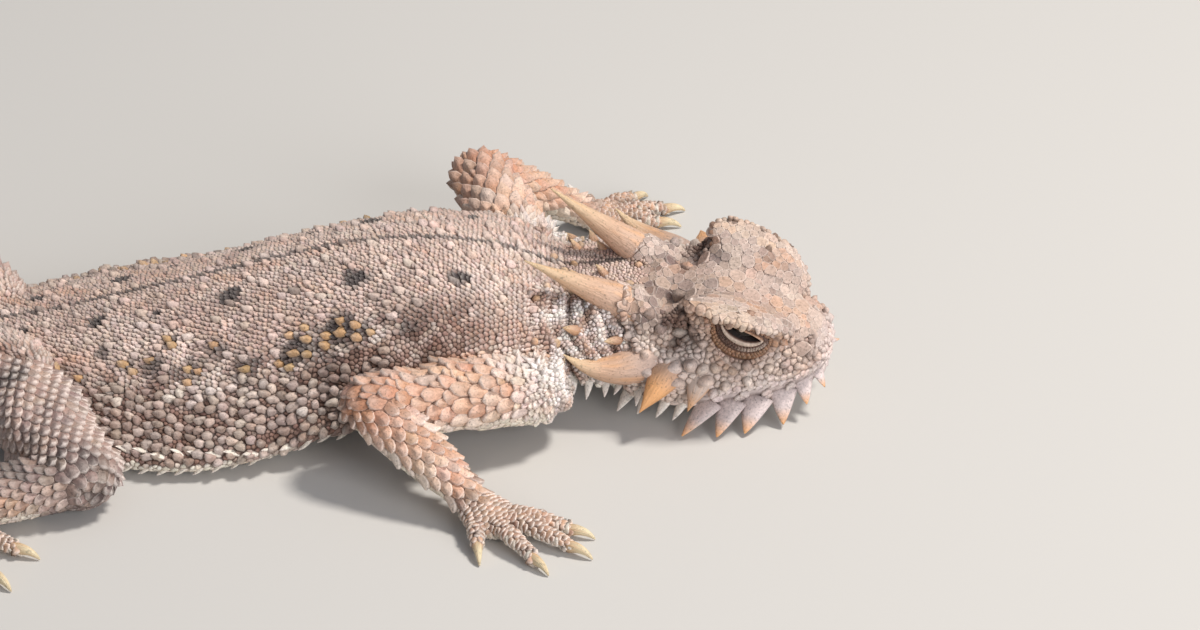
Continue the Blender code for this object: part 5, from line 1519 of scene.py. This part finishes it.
class LidPatch:
    """The lids of one eye: a fine patch from the slit, over its pale margin and brown fold, to the orbit's rim."""

    def __init__(self, skin, side):
        self.sign = 1 if side == "left" else -1
        angle = np.linspace(0, 2 * math.pi, LID_STEPS, endpoint=False)
        cosine, sine = np.cos(angle), np.sin(angle)
        slope = math.radians(SLIT_SLOPE)
        rim = self.flat_place(1.0, cosine, sine, slope)
        near = head_to_body(np.stack([rim[:, 0], np.full(LID_STEPS, 5.4 * self.sign), rim[:, 1]], axis=1))
        rim_places = body_to_head(skin.nearest(near, 9)[0])
        rings, tones = [], []
        for share, stand, tone in LID_RINGS:
            flat = self.flat_place(share, cosine, sine, slope)
            dx, dz = flat[:, 0] - EYE_AT[0], flat[:, 1] - EYE_AT[2]
            swell = np.sqrt(np.maximum(1 - (dx / 3.2) ** 2 - (dz / 3.1) ** 2, 0.02))
            lid = EYE_AT[1] + 1.82 * swell + stand
            ring = np.stack([flat[:, 0], lid * self.sign, flat[:, 1]], axis=1)
            blend = float(smoothstep(0.6, 1.0, share))
            target = rim_places.copy()
            target[:, 1] += self.sign * stand
            if share > 1:
                target = target + (rim_places - np.array([SLIT_AT[0], 5.0 * self.sign, SLIT_AT[1]])) * (share - 1)
            rings.append(ring * (1 - blend) + target * blend)
            tones.append(np.tile(linear(tone), (LID_STEPS, 1)))
        self.rings = np.array(rings)
        self.points = head_to_body(self.rings.reshape(-1, 3))
        tones = np.array(tones)
        upper = smoothstep(0.1, 0.7, sine)[None, :, None]
        place = np.array([share for share, _, _ in LID_RINGS])[:, None, None]
        inner = smoothstep(0.4, 0.2, place)
        tones = tones * (1 - 0.75 * upper * inner) + linear("brow") * 0.75 * upper * inner
        granular = 0.65 * smoothstep(-0.1, 0.5, cosine) * smoothstep(0.1, -0.3, sine)
        granular = granular[None, :, None] * smoothstep(0.33, 0.4, place) * smoothstep(0.55, 0.5, place)
        tones = tones * (1 - granular) + linear("lid") * granular
        pleats = 1 + 0.13 * np.cos(angle * 30)[None, :, None] * crease(place - 0.13, 0.08)
        tones = tones * pleats
        noise = body_noise(self.points, 0.35, 14).reshape(len(rings), LID_STEPS, 1)
        self.tones = (tones * (1 + 0.16 * noise)).reshape(-1, 3)
        self.quads = ring_quads(len(rings), LID_STEPS)
        if self.sign > 0:
            self.quads = self.quads[:, ::-1]
        normals = summed_normals(self.points, self.quads)
        outward = HEAD_TURN @ np.array([0, self.sign, 0])
        self.normals = normals * np.sign((normals @ outward).mean())

    def flat_place(self, share, cosine, sine, slope):
        """Forward and up in the head's frame on the ring that stands at this share from slit to rim."""
        length = SLIT_LENGTH + (ORBIT_LENGTH - SLIT_LENGTH) * share
        down = SLIT_HEIGHT + (ORBIT_DOWN - SLIT_HEIGHT) * share
        up = SLIT_HEIGHT + (ORBIT_UP - SLIT_HEIGHT) * share
        pointed = np.abs(sine) ** (0.45 * max(0.0, 1 - 1.6 * share))
        along = length * cosine
        rise = np.where(sine > 0, up, down) * sine * pointed
        return np.stack([
            SLIT_AT[0] + along * math.cos(slope) - rise * math.sin(slope),
            SLIT_AT[1] + along * math.sin(slope) + rise * math.cos(slope),
        ], axis=1)

    def grow(self, seeds, rectangle, random):
        """Fine grains in rows on the fold of the lower lid and round the rim."""
        left, bottom, width, height = rectangle
        shares = [share for share, _, _ in LID_RINGS]
        points = self.points.reshape(len(shares), LID_STEPS, 3)
        normals = self.normals.reshape(len(shares), LID_STEPS, 3)
        tones = self.tones.reshape(len(shares), LID_STEPS, 3)
        for row, (share, pitch) in enumerate(LID_GRAINS):
            index = shares.index(share)
            loop = points[index]
            length = np.linalg.norm(np.roll(loop, -1, axis=0) - loop, axis=1)
            total = np.concatenate([[0], np.cumsum(length)])
            wanted = (np.arange(int(total[-1] / pitch)) + 0.5 * (row % 2)) * pitch
            wanted = wanted + random.uniform(-0.12, 0.12, len(wanted)) * pitch
            picks = np.searchsorted(total[1:], np.maximum(wanted, 0)) % LID_STEPS
            lies = np.roll(loop, -1, axis=0)[picks] - loop[picks]

            def grain(place, normal, random):
                size = pitch * random.uniform(0.85, 1.2)
                return dict(size=size, dome=0.28 * pitch, tilt=0.0, over=0.0, edge=0.2, fit=0.97, group="lids")

            up = np.full(len(picks), share / 1.1)
            maps = np.stack([left + width * picks / LID_STEPS, bottom + height * up], axis=1)
            seeds.put(loop[picks], normals[index][picks], lies, tones[index][picks], maps, grain, random)

    def build(self, side, material, shift):
        data = bulk_mesh(f"lids_{side}", to_row(self.points, shift), self.quads)
        set_point_colour(data, "tone", self.tones)
        set_point_vector(data, "grain", self.points)
        add_object(f"lids_{side}", data, material)


# Horns, spines and claws


class Thorns:
    """Tapered horns, spines and claws joined into one mesh, with their colour from root to tip."""

    def __init__(self):
        self.points, self.quads, self.triangles, self.tints, self.grains, self.maps = [], [], [], [], [], []
        self.low = 0

    def add(self, path, width, height, colours, taper, up, sides=14, ridge=0.0, place=(0.5, 0.5)):
        steps = len(path)
        along = unit(np.gradient(path, axis=0))
        angle = np.linspace(0, 2 * math.pi, sides, endpoint=False)
        share = np.linspace(0, 1, steps)
        rings = []
        for index in range(steps):
            side = unit(np.cross(up, along[index]))
            top = np.cross(along[index], side)
            swell = 1 + ridge * np.cos(angle * 5) * (1 - share[index])
            rings.append(
                path[index]
                + np.outer(np.cos(angle) * swell * width / 2 * taper[index], side)
                + np.outer(np.sin(angle) * swell * height / 2 * taper[index], top)
            )
        rings = np.array(rings)
        tip = path[-1] + along[-1] * taper[-1] * width * 0.5
        self.points.append(np.concatenate([rings.reshape(-1, 3), [tip], [path[0]]]))
        step = np.arange(sides)
        after = (step + 1) % sides
        last = (steps - 1) * sides
        cap = np.stack([last + step, last + after, np.full(sides, steps * sides)], axis=1)
        back = np.stack([after, step, np.full(sides, steps * sides + 1)], axis=1)
        self.quads.append(ring_quads(steps, sides) + self.low)
        self.triangles.append(np.concatenate([cap, back]) + self.low)
        root, middle, end = colours
        reach = share[:, None] * 2
        first, second = root + (middle - root) * reach, middle + (end - middle) * (reach - 1)
        blend = np.where(reach < 1, first, second)
        tint = np.repeat(blend[:, None], sides, axis=1).reshape(-1, 3)
        self.tints.append(np.concatenate([tint, [end], [root]]))
        length = np.linalg.norm(path[-1] - path[0])
        grain = np.stack(np.broadcast_arrays(
            np.cos(angle)[None] * 2.2, np.sin(angle)[None] * 2.2, share[:, None] * length * 0.35 + self.low * 0.01
        ), axis=2).reshape(-1, 3)
        self.grains.append(np.concatenate([grain, [grain[-1]], [grain[0]]]))
        around = np.broadcast_arrays(share[:, None] * 0.0028, angle[None] / 6.3 * 0.0028)
        around = np.stack(around, axis=2).reshape(-1, 2)
        around = np.concatenate([around, [around[-1]], [around[0]]]) + np.asarray(place)
        self.maps.append(around)
        self.low += len(rings.reshape(-1, 3)) + 2

    def finish(self, name, material, slot, shift):
        points = np.concatenate(self.points)
        points[:, 2] = np.maximum(points[:, 2], LOWEST)
        data = bulk_mesh(name, to_row(points, shift), np.concatenate(self.quads), np.concatenate(self.triangles))
        set_point_colour(data, "tone", np.concatenate(self.tints))
        set_point_vector(data, "grain", np.concatenate(self.grains))
        set_bake_map(data, np.concatenate(self.maps))
        return add_object(name, data, material)


HORN_TAPER = smooth_curve([0, 0.2, 0.4, 0.6, 0.8, 1.0], [1.0, 1.0, 0.8, 0.54, 0.26, 0.03], np.linspace(0, 1, 26))
SPINE_TAPER = smooth_curve([0, 0.25, 0.5, 0.75, 1.0], [1.0, 0.92, 0.7, 0.4, 0.05], np.linspace(0, 1, 9))
JAW_TAPER = np.linspace(1.0, 0.05, 9) ** 0.85
HORN_COLOURS = {
    "horn_occipital": ("horn_root", "horn", "horn_tip"),
    "horn_temporal_rear": ("horn_root", "horn", "horn_tip"),
    "horn_temporal_middle": ("horn_root", "horn_orange", "horn_orange"),
    "horn_temporal_front": ("head_pale", "head_pale", "horn_orange"),
}


def build_horns(skin, material, shift):
    """The eight horns, each a piece of its own in the place of its solid, and the places of their roots."""
    roots = []
    for name, (root, bend, tip, width, height) in HORNS.items():
        colours = [linear(tone) for tone in HORN_COLOURS[name]]
        for side in ("left", "right"):
            path = bent_path(*[head_to_body([mirrored(point, side)])[0] for point in (root, bend, tip)], 26)
            path[0] += (path[0] - path[3]) * 0.6
            horn = Thorns()
            horn.add(path, width, height, colours, HORN_TAPER, HEAD_TURN @ UPWARD, 26, 0.02)
            piece = horn.finish(f"{name}_{side}_shown", material, "horn", shift)
            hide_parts(f"{name}_{side}")
            near, _, _ = skin.nearest(path[:12], 9)
            gap = np.linalg.norm(near - path[:12], axis=1)
            seat = path[int(np.argmin(gap))]
            roots.append((seat, width * (0.5 if name == "horn_occipital" else 0.75)))
    return roots


def spine_list(skin):
    """Root, normal, tip, width and height of each spine, in the places that the solids give them."""
    random = np.random.default_rng(21)
    found = []

    def add(seat, lie, sizes, kind, scale=1.0):
        if seat is None:
            return
        length, width, height = [value * scale * random.uniform(0.88, 1.12) for value in sizes]
        tip = seat[0] + unit(lie) * length
        if tip[2] < 0.25:
            return
        found.append(dict(root=seat[0], normal=seat[1], tip=tip, width=width, height=height, kind=kind))

    for root, tip, width in JAW_SPINES:
        for side in ("left", "right"):
            start = head_to_body([mirrored(root, side)])[0]
            end = head_to_body([mirrored(tip, side)])[0]
            end[2] = max(end[2], LOWEST_TIP)
            start = start + (end - start) * 0.2
            form = dict(normal=unit(end - start), width=width * 1.25, height=width * 0.5, kind="jaw")
            found.append(dict(root=start, tip=end, **form))
    for side in (-1, 1):
        for x in (0.8, 2.4, 4.0, 5.4):
            seat = head_seat(skin, (x, 0, 2.3), (0, side, 0))
            add(seat, HEAD_TURN @ np.array([-0.35, side * 0.75, -0.6]), (1.5, 1.5, 0.7), "throat")
        for x, angle in ((23.0, 20), (24.6, 45), (26.4, 12), (25.4, 68), (23.2, 62)):
            turn = math.radians(angle)
            seat = skin.seat((x, 0.3, 5.5), (0, side * math.cos(turn), math.sin(turn)))
            if seat:
                add(seat, seat[1] + 0.7 * BACKWARD, (1.2, 1.1, 0.9), "neck")
        for x in np.arange(22.8, 28.4, 1.35):
            seat = skin.seat((x, 0, 3.4), (0, side, 0))
            if seat:
                add(seat, seat[1] * 0.8 - UPWARD * 0.45 + BACKWARD * 0.35, (1.6, 1.2, 0.6), "throat")
        for height, sizes, first in ((2.1, (1.0, 0.95, 0.5), 13.0), (0.95, (0.75, 0.8, 0.4), 3.0)):
            for x in np.arange(first, -23.0, -1.45):
                seat = skin.seat((x, 0, height), (0, side, 0))
                if seat and flank_share(seat[0]) < 1.06:
                    add(seat, seat[1] * 0.55 + BACKWARD * 0.8, sizes, "fringe")
        for x in np.arange(-34.5, -65.0, -1.9):
            middle, width = [float(smooth_curve(TAIL_X, line, [x])[0]) for line in (TAIL_Y, TAIL_HALF_WIDTH)]
            scale = 0.45 + 0.55 * width / TAIL_HALF_WIDTH[0]
            seat = skin.seat((x, middle, 0.45 * width ** 0.5 + 0.3), (0, side, 0))
            if seat:
                add(seat, seat[1] * 0.7 + BACKWARD * 0.75 + UPWARD * 0.1, (1.2, 1.0, 0.6), "fringe", scale)
    return found


SPINE_TONES = {
    "jaw": ("lip", "lip", "horn_orange"), "throat": ("throat", "throat", "edge"),
    "neck": ("neck_brown", "horn", "horn_tip"), "fringe": ("flank_pale", "belly", "edge"),
}
# The pieces that hold the spines, and the kinds in each
SPINE_PIECES = (("spines_pale", ("jaw", "throat", "fringe")), ("spines_horny", ("neck",)))


def build_spines(spines, materials, shift):
    """The spines, pale scaly ones in one piece and horny ones in another."""
    for (name, kinds), material in zip(SPINE_PIECES, materials):
        thorns = Thorns()
        for spine in spines:
            if spine["kind"] not in kinds:
                continue
            along = unit(spine["tip"] - spine["root"])
            length = np.linalg.norm(spine["tip"] - spine["root"])
            start = spine["root"] - spine["normal"] * 0.25 - along * 0.3
            bend = spine["root"] + along * length * 0.4 + spine["normal"] * length * 0.08
            path = bent_path(start, bend, spine["tip"], len(SPINE_TAPER))
            taper = JAW_TAPER if spine["kind"] in ("jaw", "throat") else SPINE_TAPER
            up = unit(np.cross(np.cross(along, UPWARD), along))
            colours = [linear(tone) for tone in SPINE_TONES[spine["kind"]]]
            place = spine_map(spine["root"])
            thorns.add(path, spine["width"], spine["height"], colours, taper, up, 12, 0.0, place)
        thorns.finish(name, material, "horn", shift)


def spine_map(place):
    return body_map(np.asarray(place, float)[None])[0]


def build_claws(material, shift):
    """The claws in one piece, and the places that they keep free of scales."""
    claws, roots = Thorns(), []
    colours = [linear(name) for name in ("claw_root", "claw", "claw")]
    for side in ("left", "right"):
        for joints, tips, radius in (
            (ARM_JOINTS[side], HAND_TIPS[side], TOE_RADIUS),
            (LEG_JOINTS[side], FOOT_TIPS[side], TOE_RADIUS * 1.05),
        ):
            for tip in tips:
                _, root, direction, end = toe_rings(joints[2], tip, radius, 0.0)
                bend = root + direction * 0.9 + np.array([0, 0, 0.35])
                path = bent_path(root - direction * 0.5, bend, end - np.array([0, 0, 0.2]), 12)
                taper = np.linspace(1, 0.06, 12) ** 0.7
                claws.add(path, radius * 1.25, radius * 1.45, colours, taper, UPWARD, 12, 0.0, spine_map(root))
                roots.append((root + direction * 0.5, 0.5))
    claws.finish("claws", material, "horn", shift)
    return roots


def build_skin(skin, shift):
    """The skin in the place of all the nodes of flesh: darkened as painted shade in the gaps between the scales,
    and paler on the crown.
    """
    data = bulk_mesh("skin", to_row(skin.points, shift), skin.quads)
    colour = skin_colour(skin.points, skin.normals)
    crown = smoothstep(0.3, 0.6, (skin.normals @ HEAD_TURN)[:, 2])
    on_head = ((body_to_head(skin.points)[:, 0] > 0) * crown)[:, None]
    pale = colour * 0.85 + linear("edge") * 0.06
    # Painted shade: off the crown the skin between the scales is darkened.
    shaded = pale * on_head + (colour * 0.45 + linear("groove_shade") * 0.22) * (1 - on_head)
    set_point_colour(data, "tone", shaded)
    skin_piece = add_object("skin", data, skin_material())
    flesh = ["head", "lower_jaw", "neck", "torso", "tail"]
    for side in ("left", "right"):
        flesh += [f"{name}_{side}" for name in ("upper_arm", "forearm", "hand", "thigh", "shank", "foot")]
    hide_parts(*flesh)


def build_eyes(material, shift):
    for side in ("left", "right"):
        centre = head_to_body([mirrored(EYE_AT, side)])[0]
        angle = np.linspace(0, 2 * math.pi, 40, endpoint=False)
        polar = np.linspace(0.02, math.pi - 0.02, 26)
        rings = np.array([
            centre + EYE_SHOWN_RADIUS * np.stack(
                [np.cos(angle) * np.sin(p), np.sin(angle) * np.sin(p), np.full(40, np.cos(p))], axis=1)
            for p in polar
        ])
        points, faces = loft(rings)
        data = bpy.data.meshes.new("eye_" + side + "_shown")
        data.from_pydata(to_row(points, shift).tolist(), [], faces)
        for polygon in data.polygons:
            polygon.use_smooth = True
        piece = add_object("eye_" + side + "_shown", data, material)
        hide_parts("eye_" + side)


# Materials


class Shading:
    """A material with short ways to add and link its nodes."""

    def __init__(self, name, roughness, specular=0.35):
        self.material = bpy.data.materials.new(name)
        self.material.use_nodes = True
        self.tree = self.material.node_tree
        self.shader = self.tree.nodes["Principled BSDF"]
        self.shader.inputs["Roughness"].default_value = roughness
        self.shader.inputs["Specular IOR Level"].default_value = specular

    def add(self, kind, inputs, output, **settings):
        """A node with its settings, and with its inputs set to values or linked to sockets; gives its output."""
        made = self.tree.nodes.new("ShaderNode" + kind)
        for name, value in settings.items():
            setattr(made, name, value)
        for name, value in inputs.items():
            if isinstance(value, bpy.types.NodeSocket):
                self.tree.links.new(value, made.inputs[name])
            else:
                made.inputs[name].default_value = value
        return made.outputs[output]

    def stored(self, name, output):
        return self.add("Attribute", {}, output, attribute_name=name)

    def noise(self, vector, scale, detail, roughness=0.5):
        inputs = {"Vector": vector, "Scale": scale, "Detail": detail, "Roughness": roughness}
        return self.add("TexNoise", inputs, "Fac")

    def ranged(self, value, low, high, to_low, to_high):
        inputs = {"Value": value, "From Min": low, "From Max": high, "To Min": to_low, "To Max": to_high}
        return self.add("MapRange", inputs, "Result")

    def mix(self, first, second, factor=1.0, blend="MULTIPLY"):
        inputs = {"A": first, "B": second, "Factor": factor}
        return self.add("Mix", inputs, "Result", data_type="RGBA", blend_type=blend)

    def finish(self, colour, height, strength, distance):
        self.tree.links.new(colour, self.shader.inputs["Base Color"])
        normal = self.add("Bump", {"Height": height, "Strength": strength, "Distance": distance}, "Normal")
        self.tree.links.new(normal, self.shader.inputs["Normal"])
        return self.material


def scaly_material():
    """Colour from the piece's own tone with fine speckles and dark pits, and a fine grained bump."""
    made = Shading("scales", 0.62)
    place = made.add("TexCoord", {}, "Object")
    speckles = made.ranged(made.noise(place, 4200.0, 4.0), 0.3, 0.72, 0.78, 1.14)
    pits = made.ranged(made.noise(place, 6500.0, 1.0), 0.3, 0.4, 0.6, 1.0)
    colour = made.mix(made.mix(made.stored("tone", "Color"), speckles), pits)
    return made.finish(colour, made.noise(made.stored("grain", "Vector"), 5.0, 5.0), 0.6, 0.00008)


def horn_material():
    """Horn sheath: its own tone with streaks and pits along its length, orange in patches, and fine grooves."""
    made = Shading("horn_sheath", 0.45, 0.4)
    grain = made.stored("grain", "Vector")
    streaks = made.noise(grain, 3.4, 6.0, 0.65)
    patches = made.ranged(made.noise(grain, 0.8, 2.0), 0.5, 0.75, 0.0, 0.5)
    colour = made.mix(made.stored("tone", "Color"), (*linear("horn_orange"), 1), patches, "MIX")
    pits = made.ranged(made.noise(made.add("TexCoord", {}, "Object"), 5200.0, 1.0), 0.3, 0.38, 0.65, 1.0)
    colour = made.mix(made.mix(colour, made.ranged(streaks, 0.3, 0.7, 0.78, 1.1)), pits)
    return made.finish(colour, streaks, 0.8, 0.00015)


def skin_material():
    """The soft skin between the scales: its own tone, darker in patches, with a fine wrinkled bump."""
    made = Shading("skin_between_scales", 0.7)
    noise = made.noise(made.add("TexCoord", {}, "Object"), 3000.0, 5.0)
    colour = made.mix(made.stored("tone", "Color"), made.ranged(noise, 0.0, 1.0, 0.75, 1.15))
    return made.finish(colour, noise, 0.5, 0.0001)


def eye_material():
    made = Shading("eye_wet", 0.1, 0.3)
    noise = made.noise(made.add("TexCoord", {}, "Object"), 900.0, 2.0)
    shade = made.ranged(noise, 0.3, 0.7, 0.3, 1.0)
    colour = made.mix((0.02, 0.013, 0.009, 1), shade)
    return made.finish(colour, noise, 0.1, 0.00002)


def plain_material(name, colour, roughness):
    made = Shading(name, roughness)
    made.shader.inputs["Base Color"].default_value = (*colour, 1)
    return made.material


# Studio


def add_floor():
    data = bpy.data.meshes.new("floor")
    half = 1.2
    corners = [(-half, -half, 0), (half, -half, 0), (half, half, 0), (-half, half, 0)]
    data.from_pydata(corners, [], [(0, 1, 2, 3)])
    floor = bpy.data.objects.new("floor", data)
    bpy.context.scene.collection.objects.link(floor)
    data.materials.append(plain_material("floor_pale", (0.56, 0.54, 0.51), 0.85))


def add_light(name, place, target, size, power, colour):
    data = bpy.data.lights.new(name, "AREA")
    data.shape = "DISK"
    data.size = size
    data.energy = power
    data.color = colour
    light = bpy.data.objects.new(name, data)
    light.location = place
    light.rotation_euler = (Vector(target) - Vector(place)).to_track_quat("-Z", "Y").to_euler()
    bpy.context.scene.collection.objects.link(light)


def add_studio(shift):
    world = bpy.data.worlds.new("studio")
    bpy.context.scene.world = world
    world.use_nodes = True
    world.node_tree.nodes["Background"].inputs["Color"].default_value = (0.85, 0.9, 1.0, 1)
    world.node_tree.nodes["Background"].inputs["Strength"].default_value = 0.3
    centre = tuple(to_row((15.0, 0.0, 4.0), shift))
    add_light("key", (centre[0] + 0.25, centre[1] + 0.03, 0.46), centre, 0.10, 2.6, (1.0, 0.96, 0.91))
    add_light("fill", (centre[0] + 0.35, centre[1] - 0.5, 0.22), centre, 0.4, 2.9, (0.97, 0.97, 1.0))
    scene = bpy.context.scene
    scene.view_settings.view_transform = "Standard"
    scene.view_settings.exposure = 0.0


def add_camera(shift):
    """The photo's view: from the right side, 30 degrees above the floor, from about 36 cm."""
    elevation = math.radians(30)
    distance = 360.0
    target = np.array([25.0, 0.0, 5.5])
    away = np.array([0.0, -math.cos(elevation), math.sin(elevation)])
    data = bpy.data.cameras.new("camera")
    data.lens = 129.6
    data.sensor_width = 36.0
    data.clip_start = 0.01
    camera = bpy.data.objects.new("camera", data)
    place = to_row(target + away * distance, shift)
    camera.location = place
    camera.rotation_euler = Vector(-away).to_track_quat("-Z", "Y").to_euler()
    bpy.context.scene.collection.objects.link(camera)
    bpy.context.scene.camera = camera


def main():
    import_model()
    shift = row_shift()
    skin = Skin()
    scales = scaly_material()
    horn = horn_material()
    roots = build_horns(skin, horn, shift)
    spines = spine_list(skin)
    build_spines(spines, (scales, horn), shift)
    roots += build_claws(horn, shift)
    build_eyes(eye_material(), shift)
    roots += [(spine["root"], spine["width"] * 0.7) for spine in spines if spine["kind"] != "fringe"]
    lids = {side: LidPatch(skin, side) for side in ("left", "right")}
    for side, patch in lids.items():
        patch.build(side, scales, shift)
    seeds = all_seeds(skin, roots, lids)
    build_scales(seeds, scales, shift)
    build_skin(skin, shift)
    add_floor()
    add_studio(shift)
    add_camera(shift)


main()
